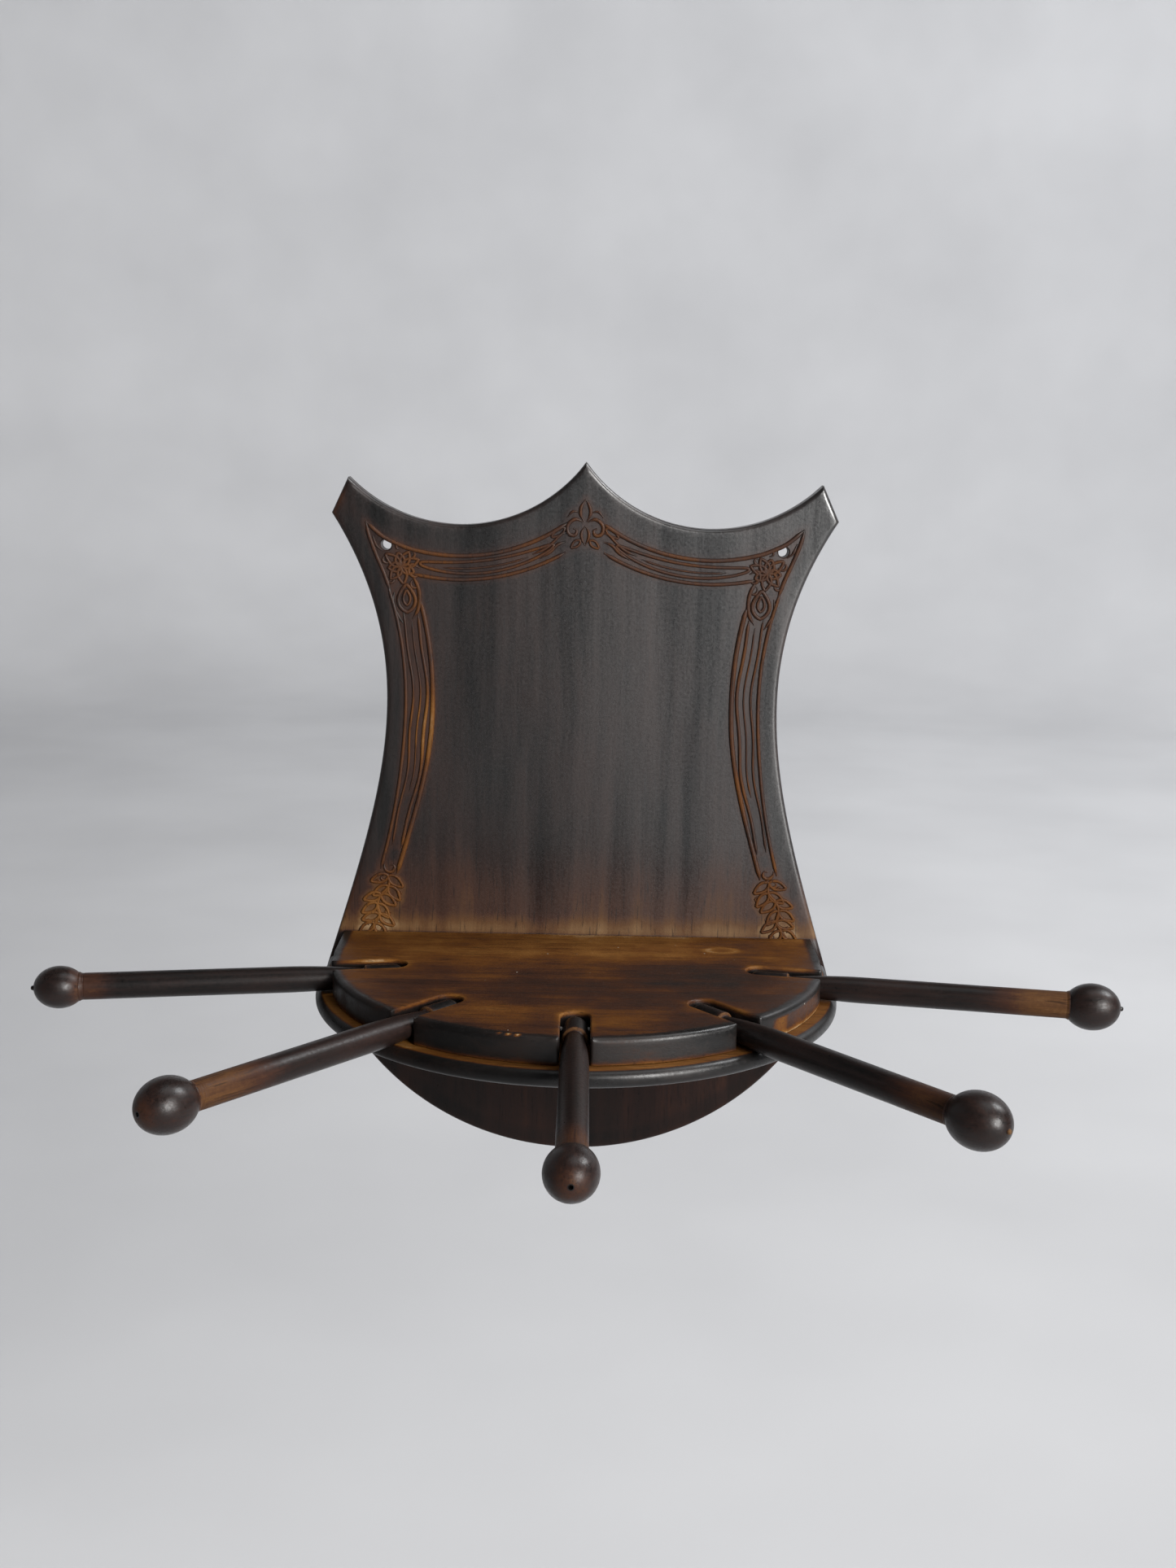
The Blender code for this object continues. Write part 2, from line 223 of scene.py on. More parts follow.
def around(angle, out, aside=0.0):
    """Plan points at an angle from -Y about the shelf's axis, out from it and aside of the ray."""
    outward = np.array((math.sin(angle), -math.cos(angle)))
    across = np.array((math.cos(angle), math.sin(angle)))
    centre = np.array((0.0, SHELF_AXIS_Y))
    out = np.atleast_1d(out)[:, None]
    aside = np.atleast_1d(aside)[:, None]
    return centre + out * outward + aside * across


def rim(radius, first, last, step=math.radians(1.0)):
    """Plan points round the shelf's axis from one angle to another."""
    count = max(1, round((last - first) / step))
    angles = np.linspace(first, last, count + 1)
    return np.vstack([around(angle, radius) for angle in angles])


def slot_outline(angle):
    """One slot from its left mouth corner round its inner end to its right one, and rounding sizes."""
    centre_aside = SLOT_HALF_WIDTH + SLOT_CORNER
    centre_out = math.sqrt((SLOTTED_RADIUS - SLOT_CORNER) ** 2 - centre_aside**2)
    turn = math.atan2(centre_aside, centre_out)
    corner = []
    for bearing in np.linspace(turn, -math.pi / 2, 6):
        out = centre_out + SLOT_CORNER * math.cos(bearing)
        corner.append((out, centre_aside + SLOT_CORNER * math.sin(bearing)))
    wall = [(out, SLOT_HALF_WIDTH) for out in np.linspace(centre_out, PIVOT_RADIUS, 12)[1:-1]]
    bend = np.linspace(0.0, math.pi / 2, 13)
    end = [(PIVOT_RADIUS - SLOT_HALF_WIDTH * math.sin(b), SLOT_HALF_WIDTH * math.cos(b)) for b in bend]
    side = np.array(corner + wall + end)
    left = around(angle, side[:, 0], -side[:, 1])
    right = around(angle, side[:, 0], side[:, 1])
    return np.vstack([left, right[-2::-1]]), turn


def slotted_outline():
    """Counter-clockwise in plan, from the left end of the half disc, and each point's edge rounding."""
    points, rounding = [], []
    start = -math.pi / 2
    for arm in ARMS:
        slot, turn = slot_outline(arm_angle(arm))
        stretch = rim(SLOTTED_RADIUS, start, arm_angle(arm) - turn)[:-1]
        slot = slot[:-1]  # the next stretch starts with the slot's last point
        points += [stretch, slot]
        rounding += [np.full(len(stretch), SLOTTED_ROUND), np.full(len(slot), SLOT_ROUND)]
        start = arm_angle(arm) + turn
    stretch = rim(SLOTTED_RADIUS, start, math.pi / 2)
    back = plate_back(SLOTTED_RADIUS, SLOTTED_HIGH.y)
    points += [stretch, back]
    rounding += [np.full(len(stretch), SLOTTED_ROUND), np.full(len(back), BACK_EDGE_ROUND)]
    return np.vstack(points), blurred(np.concatenate(rounding))


def plate_back(radius, back_y):
    """The straight sides and back of a plate, from the right end of its half disc to the left."""
    right = resample(np.array([(radius, SHELF_AXIS_Y), (radius, back_y)]), 3 * MM, clear_end=4 * MM)
    back = resample(np.array([(radius, back_y), (-radius, back_y)]), 4 * MM, 4 * MM, 4 * MM)
    left = right[::-1] * (-1.0, 1.0)
    return np.vstack([right[1:], back[1:-1], left[:-1]])


def blurred(values, passes=3):
    """Neighbours evened out round a closed outline, never above their own value."""
    mean = values
    for _ in range(passes):
        mean = (np.roll(mean, 1) + mean + np.roll(mean, -1)) / 3
    return np.minimum(mean, values)


def lower_outline():
    """Counter-clockwise in plan, from the left end of the half disc."""
    stretch = rim(LOWER_RADIUS, -math.pi / 2, math.pi / 2)
    return np.vstack([stretch, plate_back(LOWER_RADIUS, LOWER_HIGH.y)])


# ---------------------------------------------------------------- mesh building


def inward(outline):
    """For each point of a counter-clockwise outline, the move that insets both its edges by 1."""
    before = unit(outline - np.roll(outline, 1, axis=0))
    after = unit(np.roll(outline, -1, axis=0) - outline)
    normal_before = np.column_stack([-before[:, 1], before[:, 0]])
    normal_after = np.column_stack([-after[:, 1], after[:, 0]])
    dot = (normal_before * normal_after).sum(axis=1, keepdims=True)
    return (normal_before + normal_after) / (1.0 + dot)


def edge_distance(points, outline):
    """Distance from each point to a closed outline."""
    start = outline
    run = np.roll(outline, -1, axis=0) - start
    length_squared = (run**2).sum(axis=1)
    best = np.full(len(points), np.inf)
    for first in range(0, len(points), 4000):
        some = points[first : first + 4000, None, :] - start
        t = np.clip((some * run).sum(axis=2) / length_squared, 0.0, 1.0)
        gap = np.linalg.norm(some - t[:, :, None] * run, axis=2)
        best[first : first + 4000] = gap.min(axis=1)
    return best


def inside(points, outline):
    """Even-odd test of each point against a closed outline."""
    x, y = points[:, :1], points[:, 1:]
    x1, y1 = outline[:, 0], outline[:, 1]
    x2, y2 = np.roll(x1, -1), np.roll(y1, -1)
    spans = (y1 > y) != (y2 > y)
    rise = np.where(y2 == y1, 1.0, y2 - y1)
    crossings = spans & (x < (x2 - x1) * (y - y1) / rise + x1)
    return crossings.sum(axis=1) % 2 == 1


def fill(loop, spacing):
    """Triangles that fill a closed loop: the points added inside it, and triples of indices."""
    low, high = loop.min(axis=0), loop.max(axis=0)
    rows = np.arange(low[1], high[1], spacing * math.sqrt(3) / 2)
    grid = []
    for number, row in enumerate(rows):
        start = low[0] + (number % 2) * spacing / 2
        grid += [(x, row) for x in np.arange(start, high[0], spacing)]
    grid = np.array(grid)
    grid = grid[inside(grid, loop)]
    grid = grid[edge_distance(grid, loop) > 0.6 * spacing]
    points = np.vstack([loop, grid])
    count = len(loop)
    edges = [(k, (k + 1) % count) for k in range(count)]
    made = delaunay_2d_cdt([Vector(p) for p in points], edges, [], 1, 1e-7)
    source = [origins[0] for origins in made[3]]
    return grid, [[source[v] for v in face] for face in made[2]]


def mesh_of(name, points, faces, smooth_angle=35.0):
    """A mesh with outward faces, smooth but for edges sharper than the angle."""
    mesh = bpy.data.meshes.new(name)
    mesh.from_pydata([tuple(p) for p in points], [], faces)
    bm = bmesh.new()
    bm.from_mesh(mesh)
    bmesh.ops.recalc_face_normals(bm, faces=bm.faces)
    bm.to_mesh(mesh)
    bm.free()
    mesh.shade_smooth()
    mesh.set_sharp_from_angle(angle=math.radians(smooth_angle))
    return mesh


def ring_quads(first, second, count):
    """Faces between two rings of count points that start at these indices."""
    after = [(k + 1) % count for k in range(count)]
    return [(first + k, first + after[k], second + after[k], second + k) for k in range(count)]


def plate_mesh(name, outline, low, high, round_low, round_high, spacing, wall_rings=4, steps=5):
    """A flat plate with rounded edges. Heights run along Z, and roundings may vary along the outline."""
    count = len(outline)
    round_low = np.broadcast_to(round_low, count)
    round_high = np.broadcast_to(round_high, count)
    turns = np.linspace(0.0, math.pi / 2, steps + 1)
    rings = [(round_low * (1 - math.sin(t)), low + round_low * (1 - math.cos(t))) for t in turns]
    wall_low, wall_high = low + round_low, high - round_high
    for share in np.linspace(0.0, 1.0, wall_rings + 2)[1:-1]:
        rings.append((np.zeros(count), wall_low + share * (wall_high - wall_low)))
    rings += [(round_high * (1 - math.cos(t)), high - round_high * (1 - math.sin(t))) for t in turns]
    move = inward(outline)
    points, faces = [], []
    for index, (inset, height) in enumerate(rings):
        flat = outline + inset[:, None] * move
        points.append(np.column_stack([flat, height]))
        if index:
            faces += ring_quads((index - 1) * count, index * count, count)
    for ring, height, pitch in ((0, low, 4 * spacing), (len(rings) - 1, high, spacing)):
        added, triangles = fill(points[ring][:, :2], pitch)
        base = sum(len(p) for p in points)
        points.append(np.column_stack([added, np.full(len(added), height)]))
        place = [ring * count + k for k in range(count)] + [base + k for k in range(len(added))]
        faces += [[place[v] for v in face] for face in triangles]
    return mesh_of(name, np.vstack(points), faces)


def turned_mesh(name, profile, steps=64, wobble=None, smooth_angle=50.0):
    """A turned piece along X from (x, radius) rows, from one pole to the other."""
    profile = np.asarray(profile)
    angles = np.linspace(0.0, 2 * math.pi, steps, endpoint=False)
    body = profile[1:-1]
    points = [np.array([(profile[0, 0], 0.0, 0.0)])]
    for x, radius in body:
        radii = radius * (1.0 + (wobble(x, angles) if wobble else 0.0 * angles))
        points.append(np.column_stack([np.full(steps, x), radii * np.cos(angles), radii * np.sin(angles)]))
    points.append(np.array([(profile[-1, 0], 0.0, 0.0)]))
    faces = []
    for ring in range(len(body) - 1):
        faces += ring_quads(1 + ring * steps, 1 + (ring + 1) * steps, steps)
    last = 1 + len(body) * steps
    for k in range(steps):
        after = (k + 1) % steps
        faces.append((0, 1 + after, 1 + k))
        faces.append((last, last - steps + k, last - steps + after))
    return mesh_of(name, np.vstack(points), faces, smooth_angle)


def add_object(name, mesh, place=None):
    """Puts a mesh in the scene."""
    obj = bpy.data.objects.new(name, mesh)
    bpy.context.scene.collection.objects.link(obj)
    if place:
        obj.matrix_world = place
    return obj


def cut(obj, cutters):
    """Takes the cutters out of an object for good."""
    for cutter in cutters:
        modifier = obj.modifiers.new(cutter.name, "BOOLEAN")
        modifier.operation = "DIFFERENCE"
        modifier.object = cutter
    bpy.context.view_layer.update()
    evaluated = obj.evaluated_get(bpy.context.evaluated_depsgraph_get())
    mesh = bpy.data.meshes.new_from_object(evaluated)
    obj.modifiers.clear()
    obj.data = mesh
    for cutter in cutters:
        bpy.data.objects.remove(cutter)
    mesh.shade_smooth()
    mesh.set_sharp_from_angle(angle=math.radians(35.0))


def paint(obj, wear, wax_and_painted_sheen):
    """Stores each point's place for the grain, its wear from 0 stained to 1 bare, and its specular
    strength: polish, and on the board and shelf rims painted sheen.
    """
    points = np.zeros(len(obj.data.vertices) * 3, np.float32)
    obj.data.vertices.foreach_get("co", points)
    obj.data.attributes.new("place", "FLOAT_VECTOR", "POINT").data.foreach_set("vector", points)
    points = points.reshape(-1, 3).astype(float)
    for name, values in (("wear", wear(points)), ("wax_and_painted_sheen", wax_and_painted_sheen(points))):
        attribute = obj.data.attributes.get(name) or obj.data.attributes.new(name, "FLOAT", "POINT")
        attribute.data.foreach_set("value", np.asarray(values, np.float32))


def even(value):
    """The same value at every point."""
    return lambda points: np.full(len(points), value)


def finish_piece(obj, body, material, slot, *nodes):
    """Gives a piece its material and its body, and hides the CAD nodes it stands for. slot is not used."""
    obj.data.materials.clear()
    obj.data.materials.append(material)
    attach(obj, body)
    if nodes:
        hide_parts(*nodes)


# ---------------------------------------------------------------- materials


class Tree:
    """A material's node tree, built left to right."""

    def __init__(self, name):
        self.material = bpy.data.materials.new(name)
        self.material.use_nodes = True
        self.tree = self.material.node_tree
        self.shader = self.tree.nodes["Principled BSDF"]
        self.column = 0

    def add(self, kind, settings=None, **inputs):
        """One node. An input is a value or another node's output socket; _ stands for a space."""
        node = self.tree.nodes.new(kind)
        node.location = (-2400 + 160 * self.column, 0)
        self.column += 1
        for key, value in (settings or {}).items():
            setattr(node, key, value)
        for key, value in inputs.items():
            self.feed(node.inputs[key.replace("_", " ")], value)
        return node

    def feed(self, socket, value):
        if isinstance(value, bpy.types.NodeSocket):
            self.tree.links.new(value, socket)
        else:
            socket.default_value = value

    def math(self, operation, first, second, clamp=False):
        node = self.add("ShaderNodeMath", {"operation": operation, "use_clamp": clamp})
        self.feed(node.inputs[0], first)
        self.feed(node.inputs[1], second)
        return node.outputs[0]

    def spread(self, value, low, high, to_low=0.0, to_high=1.0):
        """Value moved from one range to another, and clamped."""
        node = self.add(
            "ShaderNodeMapRange", Value=value, From_Min=low, From_Max=high, To_Min=to_low, To_Max=to_high
        )
        return node.outputs["Result"]

    def noise(self, coordinates, scale, detail=4.0, roughness=0.55, distortion=0.0):
        node = self.add(
            "ShaderNodeTexNoise",
            Vector=coordinates,
            Scale=scale,
            Detail=detail,
            Roughness=roughness,
            Distortion=distortion,
        )
        return node.outputs["Fac"]

    def ramp(self, value, stops):
        node = self.add("ShaderNodeValToRGB", Fac=value)
        elements = node.color_ramp.elements
        for position, colour in stops[2:]:
            elements.new(position)
        for element, (position, colour) in zip(elements, stops):
            element.position = position
            element.color = (*colour, 1.0)
        return node.outputs["Color"]

    def mix(self, share, first, second, blend="MIX"):
        node = self.add("ShaderNodeMix", {"data_type": "RGBA", "blend_type": blend})
        self.feed(node.inputs[0], share)
        self.feed(node.inputs[6], first)
        self.feed(node.inputs[7], second)
        return node.outputs[2]


# Stain colours from untouched to bare wood: golden on the shelf, and tan elsewhere.
GOLDEN = (
    (0.00, (0.0045, 0.0040, 0.0038)),
    (0.20, (0.0120, 0.0076, 0.0062)),
    (0.40, (0.0380, 0.0140, 0.0066)),
    (0.58, (0.0860, 0.0310, 0.0070)),
    (0.76, (0.1500, 0.0640, 0.0150)),
    (1.00, (0.3300, 0.2300, 0.1300)),
)
TAN = (
    (0.00, (0.0045, 0.0040, 0.0038)),
    (0.20, (0.0150, 0.0080, 0.0066)),
    (0.40, (0.0360, 0.0150, 0.0090)),
    (0.58, (0.0800, 0.0370, 0.0150)),
    (0.76, (0.1400, 0.0780, 0.0340)),
    (1.00, (0.3200, 0.2300, 0.1400)),
)


def grain_coordinates(tree, along, lean=0.0):
    """Each point's place, squeezed along the grain axis so that noise stretches into fibres."""
    squeeze = [1.0, 1.0, 1.0]
    squeeze["XYZ".index(along)] = 0.06
    place = tree.add("ShaderNodeAttribute", {"attribute_name": "place"}).outputs["Vector"]
    warp = tree.noise(place, 14.0, detail=2.0)
    bend = tree.add("ShaderNodeVectorMath", {"operation": "MULTIPLY_ADD"})
    tree.feed(bend.inputs[0], warp)
    tree.feed(bend.inputs[1], (0.006, 0.006, 0.006))
    tree.feed(bend.inputs[2], place)
    mapping = tree.add(
        "ShaderNodeMapping", Vector=bend.outputs[0], Rotation=(0.0, lean, 0.0), Scale=squeeze
    )
    return place, mapping.outputs["Vector"]


def wood(
    name, along, stain, gloss, lean=0.0, streaks=0.2, blotches=0.2, fibres=0.16, specks=0.0, relief=0.5
):
    """Stained and worn wood whose specular strength follows each point's polish and painted sheen. gloss is
    the roughness of untouched stain.
    """
    tree = Tree(name)
    place, grain = grain_coordinates(tree, along, lean)
    fibre = tree.noise(grain, 620.0, detail=6.0, roughness=0.65)
    streak = tree.noise(grain, 95.0, detail=3.0)
    blotch = tree.noise(place, 30.0, detail=5.0, roughness=0.6)
    mottle = tree.noise(place, 850.0, detail=3.0, roughness=0.6)
    pore_field = tree.noise(grain, 1500.0, detail=2.0, roughness=0.4)
    pore = tree.spread(pore_field, 0.60, 0.70)
    wear = tree.add("ShaderNodeAttribute", {"attribute_name": "wear"}).outputs["Fac"]
    wax_and_painted_sheen = tree.add("ShaderNodeAttribute", {"attribute_name": "wax_and_painted_sheen"}).outputs["Fac"]
    for field, amount in ((streak, streaks), (blotch, blotches), (fibre, fibres), (mottle, 0.5 * fibres)):
        centred = tree.math("SUBTRACT", field, 0.5)
        wear = tree.math("ADD", wear, tree.math("MULTIPLY", centred, 2.0 * amount))
    wear = tree.spread(wear, 0.0, 1.0)
    colour = tree.ramp(wear, stain)
    pore_share = tree.math("MULTIPLY", pore, 0.55)
    colour = tree.mix(pore_share, colour, (0.004, 0.003, 0.003, 1.0))
    if specks:
        cells = tree.add("ShaderNodeTexVoronoi", Vector=place, Scale=165.0)
        near = tree.spread(cells.outputs["Distance"], 0.055, 0.035)
        chosen = tree.add("ShaderNodeSeparateColor", Color=cells.outputs["Color"])
        few = tree.math("GREATER_THAN", chosen.outputs["Red"], 1.0 - specks)
        colour = tree.mix(tree.math("MULTIPLY", near, few), colour, (0.42, 0.38, 0.32, 1.0))
    tree.feed(tree.shader.inputs["Base Color"], colour)
    rough = tree.spread(wear, 0.15, 0.95, gloss, 0.68)
    for field, amount in ((streak, 0.45), (mottle, 0.30)):
        centred = tree.math("SUBTRACT", field, 0.5)
        rough = tree.math("ADD", rough, tree.math("MULTIPLY", centred, amount), clamp=True)
    tree.feed(tree.shader.inputs["Roughness"], rough)
    polish = tree.spread(wear, 0.1, 0.6, 1.0, 0.3)
    # Specular level is the wear's polish times the sheen value painted on each point. That value is painted
    # sheen on the board and shelf rims, and real polish on the knobs.
    tree.feed(tree.shader.inputs["Specular IOR Level"], tree.math("MULTIPLY", polish, wax_and_painted_sheen))
    height = tree.math("ADD", tree.math("MULTIPLY", fibre, 0.8), tree.math("MULTIPLY", mottle, 0.7))
    height = tree.math("ADD", height, tree.math("MULTIPLY", blotch, 0.6))
    bump = tree.add("ShaderNodeBump", Strength=relief, Distance=0.10 * MM, Height=height)
    tree.feed(tree.shader.inputs["Normal"], bump.outputs["Normal"])
    return tree.material


def steel(name, colour, roughness, tarnish):
    """Dull drawn or turned steel with brown tarnish in patches."""
    tree = Tree(name)
    place = tree.add("ShaderNodeTexCoord").outputs["Object"]
    patch = tree.noise(place, 420.0, detail=5.0)
    fine = tree.noise(place, 2600.0, detail=3.0)
    share = tree.spread(patch, 0.42, 0.66, 0.0, tarnish)
    shade = tree.mix(share, (*colour, 1.0), (0.10, 0.055, 0.03, 1.0))
    tree.feed(tree.shader.inputs["Base Color"], shade)
    tree.shader.inputs["Metallic"].default_value = 1.0
    rough = tree.spread(fine, 0.3, 0.7, roughness - 0.08, roughness + 0.15)
    tree.feed(tree.shader.inputs["Roughness"], rough)
    bump = tree.add("ShaderNodeBump", Strength=0.3, Distance=0.03 * MM, Height=fine)
    tree.feed(tree.shader.inputs["Normal"], bump.outputs["Normal"])
    return tree.material


def pale_cloth(name):
    """The plain pale floor and backdrop."""
    tree = Tree(name)
    place = tree.add("ShaderNodeTexCoord").outputs["Object"]
    cloud = tree.noise(place, 2.2, detail=3.0)
    colour = tree.ramp(cloud, ((0.3, (0.49, 0.49, 0.50)), (0.7, (0.55, 0.55, 0.56))))
    tree.feed(tree.shader.inputs["Base Color"], colour)
    tree.shader.inputs["Roughness"].default_value = 0.9
    tree.shader.inputs["Specular IOR Level"].default_value = 0.1
    return tree.material


# ---------------------------------------------------------------- backboard


def hole_cutters(name, places, axis_turn):
    """Countersunk cutters for the screws whose heads lie at these places."""
    profile = [
        (-2.0 * MM, 0.0),
        (-2.0 * MM, SCREW_HEAD_RADIUS + SCREW_GAP),
        (0.3 * MM, SCREW_HEAD_RADIUS + SCREW_GAP),
        (SCREW_HEAD_DEPTH, SCREW_RADIUS + SCREW_GAP),
        (30.0 * MM, SCREW_RADIUS + SCREW_GAP),
        (30.0 * MM, 0.0),
    ]
    return [
        add_object(f"{name}_{k}", turned_mesh(f"{name}_{k}", profile, 40), place @ axis_turn)
        for k, place in enumerate(places)
    ]


def screw_places(label, head_side):
    """Where each screw's head is, from the CAD nodes' boxes, which lie along one axis."""
    names = sorted(name for name in frame["nodes"] if name.startswith(label))
    places = []
    for name in names:
        low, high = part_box(name)
        middle = (low + high) / 2
        if head_side == "Y":
            places.append(Matrix.Translation((middle.x, high.y, middle.z)))
        else:
            places.append(Matrix.Translation((middle.x, middle.y, low.z)))
    return names, places


INTO_BOARD = Matrix.Rotation(-math.pi / 2, 4, "Z")
INTO_SHELF = Matrix.Rotation(-math.pi / 2, 4, "Y")


def hang_hole_cutter(side):
    """A through hole with slightly worn rims, along Y."""
    back, front = 1.0 * MM, -BOARD_FRONT + 1.0 * MM
    flare = 0.5 * MM
    profile = [
        (-back, 0.0),
        (-back, HANG_HOLE_RADIUS + back + flare),
        (flare, HANG_HOLE_RADIUS),
        (front - back - flare, HANG_HOLE_RADIUS),
        (front, HANG_HOLE_RADIUS + back + flare),
        (front, 0.0),
    ]
    place = Matrix.Translation((side * HANG_HOLE[0], 0.0, HANG_HOLE[1])) @ INTO_BOARD
    return add_object(f"hang_hole_{side}", turned_mesh(f"hang_hole_{side}", profile, 48), place)


def board_wear(points):
    """Wear of the board: worn by the shelf, the border and the left corner, and plain behind."""
    x, y, z = points.T
    flat = np.column_stack([x, z])
    inset = edge_distance(flat, board_outline())
    front = smooth(y, BOARD_FRONT + 1.5 * MM, BOARD_FRONT + 0.3 * MM)
    above = smooth(z, -1 * MM, 1 * MM)
    worn = 0.09 + 0.03 * np.sin(x / (9 * MM) + z / (31 * MM))
    worn = worn - 0.06 * smooth(inset, 9 * MM, 6 * MM)
    worn = worn + above * (0.28 * smooth(z, 48 * MM, 9 * MM) + 0.27 * smooth(z, 11 * MM, 1.5 * MM))
    worn = worn + 0.08 * (1 - above)
    carved = smooth(strand_distance(flat), 3.0 * MM, 0.8 * MM)
    worn = worn + 0.20 * carved * front * above
    rounding = smooth(inset, 3.0 * MM, 0.6 * MM)
    worn = worn + 0.10 * rounding * front
    corner = np.hypot(x + CORNER_SIDE[0], z - CORNER_SIDE[1] - 4 * MM)
    worn = worn + 0.34 * smooth(corner, 13 * MM, 3 * MM) * (0.4 + 0.6 * rounding)
    side_wall = smooth(inset, 0.3 * MM, 0.0) * (1 - front)
    worn = np.where(side_wall > 0.5, 0.14, worn)
    back = smooth(y, -1.0 * MM, -0.1 * MM)
    return worn * (1 - back) + 0.40 * back


def board_painted_sheen_and_shade(points):
    """Painted sheen on the front above the shelf, stronger towards the right as a highlight from light on
    the right. Below the shelf it is turned down as painted shade; behind it's even.
    """
    x, y, z = points.T
    above = smooth(z, -8 * MM, 0.0)
    # Painted sheen rising to the right above the shelf, and painted shade below it.
    painted_sheen_and_shade = (0.45 + 0.65 * smooth(x, -100 * MM, 70 * MM)) * above + 0.14 * (1 - above)
    back = smooth(y, -1.0 * MM, -0.1 * MM)
    return painted_sheen_and_shade * (1 - back) + 0.14 * back


def make_backboard(material):
    """The board with its screw holes and its two hanging holes."""
    outline = board_outline()
    thick = BOARD_HIGH.y - BOARD_LOW.y
    mesh = plate_mesh("backboard_fine", outline, 0.0, thick, BACK_ROUND, BOARD_ROUND, BOARD_MESH_STEP)
    mesh.transform(Matrix.Rotation(math.pi / 2, 4, "X"))
    board = add_object("backboard_fine", mesh)
    _, places = screw_places("board_screw", "Y")
    cutters = hole_cutters("board_hole", places, INTO_BOARD)
    cut(board, cutters + [hang_hole_cutter(side) for side in (-1, 1)])
    paint(board, board_wear, board_painted_sheen_and_shade)
    finish_piece(board, "rack", material, "board_wood", "backboard")


# ---------------------------------------------------------------- relief border


def scallop_line(inset, x):
    """Points on a line that runs inset inside the right-hand scallop. inset may vary along it."""
    radius = SCALLOP_RADIUS + inset
    return np.column_stack([x, SCALLOP_CENTRE[1] - np.sqrt(radius**2 - (x - SCALLOP_CENTRE[0]) ** 2)])


def side_line(inset, z):
    """Points on a line that runs inset inside the right-hand waisted side."""
    x = np.interp(z, SIDE[:, 1], SIDE[:, 0])
    lean = np.interp(z, SIDE[:, 1], np.gradient(SIDE[:, 0], SIDE[:, 1]))
    normal = unit(np.column_stack([-np.ones_like(lean), lean]))
    return np.column_stack([x, z]) + np.broadcast_to(inset, len(z))[:, None] * normal


def through(*controls, steps=10):
    """A smooth line through a few points, given in millimetres."""
    knots = np.array(controls, float) * MM
    knots = np.vstack([2 * knots[0] - knots[1], knots, 2 * knots[-1] - knots[-2]])
    line = []
    for k in range(1, len(knots) - 2):
        before, start, end, after = knots[k - 1 : k + 3]
        t = np.linspace(0.0, 1.0, steps, endpoint=False)[:, None]
        line.append(
            0.5
            * (
                2 * start
                + (end - before) * t
                + (2 * before - 5 * start + 4 * end - after) * t**2
                + (3 * start - before - 3 * end + after) * t**3
            )
        )
    return np.vstack(line + [knots[-2:-1]])


def leaf(foot, angle, length, width):
    """A closed pointed loop from its foot, in (x, z)."""
    t = np.linspace(0.0, 1.0, 15)
    bulge = 0.5 * width * np.sin(math.pi * t**0.8) ** 0.9
    along, across = length * np.concatenate([t, t[-2:0:-1]]), np.concatenate([bulge, -bulge[-2:0:-1]])
    way = np.array((math.cos(angle), math.sin(angle)))
    side = np.array((-way[1], way[0]))
    return np.asarray(foot) + along[:, None] * way + across[:, None] * side


def line(width, *controls):
    """An open strand through a few points, given in millimetres."""
    return through(*controls), width, False


def petal(width, x, z, degrees, length, breadth):
    """A closed leaf strand, given in millimetres and degrees."""
    foot = np.array((x, z)) * MM
    return leaf(foot, math.radians(degrees), length * MM, breadth * MM), width, True


def curl(centre, radius, start, turn, steps=36):
    """A line that winds inwards by turn radians."""
    t = np.linspace(0.0, 1.0, steps)
    angles = start + turn * t
    radii = radius * (1.0 - 0.78 * t)
    return np.asarray(centre) + radii[:, None] * np.column_stack([np.cos(angles), np.sin(angles)])


def top_band():
    """Right half of the band under the scallops: two edge lines and long loops between them."""
    edge = scallop_line(BAND_OUTER, np.linspace(7.0, 76.0, 60) * MM)
    outer = np.vstack([edge, through((79.5, 169.6), (85.5, 172.6), (92.5, 178.5))])
    inner = scallop_line(BAND_INNER, np.linspace(8.0, 73.0, 60) * MM)
    t = np.linspace(0.0, 1.0, 70)
    x = (13.0 + 57.0 * t) * MM
    middle = 0.5 * (BAND_OUTER + BAND_INNER)
    swell = 2.6 * MM * np.sin(math.pi * t) ** 0.45
    upper, lower = scallop_line(middle - swell, x), scallop_line(middle + swell, x)
    loop = np.vstack([upper, lower[-2:0:-1]])
    heart = scallop_line(middle + 0.3 * MM, np.linspace(24.0, 60.0, 40) * MM)
    return [
        (outer, 1.1, False),
        (inner, 1.0, False),
        (loop, 0.85, True),
        (heart, 0.55, False),
        line(0.9, (70.0, 159.5), (73.2, 161.0), (74.4, 157.8), (72.0, 155.6), (69.6, 157.0)),
        line(0.8, (7.0, 175.6), (10.0, 174.8), (13.2, 171.6), (17.0, 168.4), (22.0, 166.2)),
        line(0.9, (8.0, 171.8), (11.5, 170.4), (14.5, 167.4), (19.0, 164.6)),
    ]


def peak_cluster():
    """Right half of the cluster under the board's peak: an upright leaf over two scrolls and a drop."""
    scroll_end = ((3.5, 176.4), (5.0, 177.3))
    return [
        line(0.9, (0.0, 189.5), (1.8, 186.4), (2.1, 183.4), (0.7, 180.2)),
        line(0.8, (0.0, 178.4), (1.5, 175.8), (1.4, 173.2), (0.0, 170.2)),
        line(1.0, (1.2, 180.2), (4.4, 181.2), (7.4, 178.6), (7.0, 175.2), (4.5, 174.4), *scroll_end),
        line(0.75, (2.6, 184.0), (5.4, 184.4), (7.6, 181.9)),
        petal(0.7, 2.0, 172.4, -40, 5.2, 2.4),
        petal(0.7, 8.6, 177.4, -35, 7.0, 2.6),
    ]


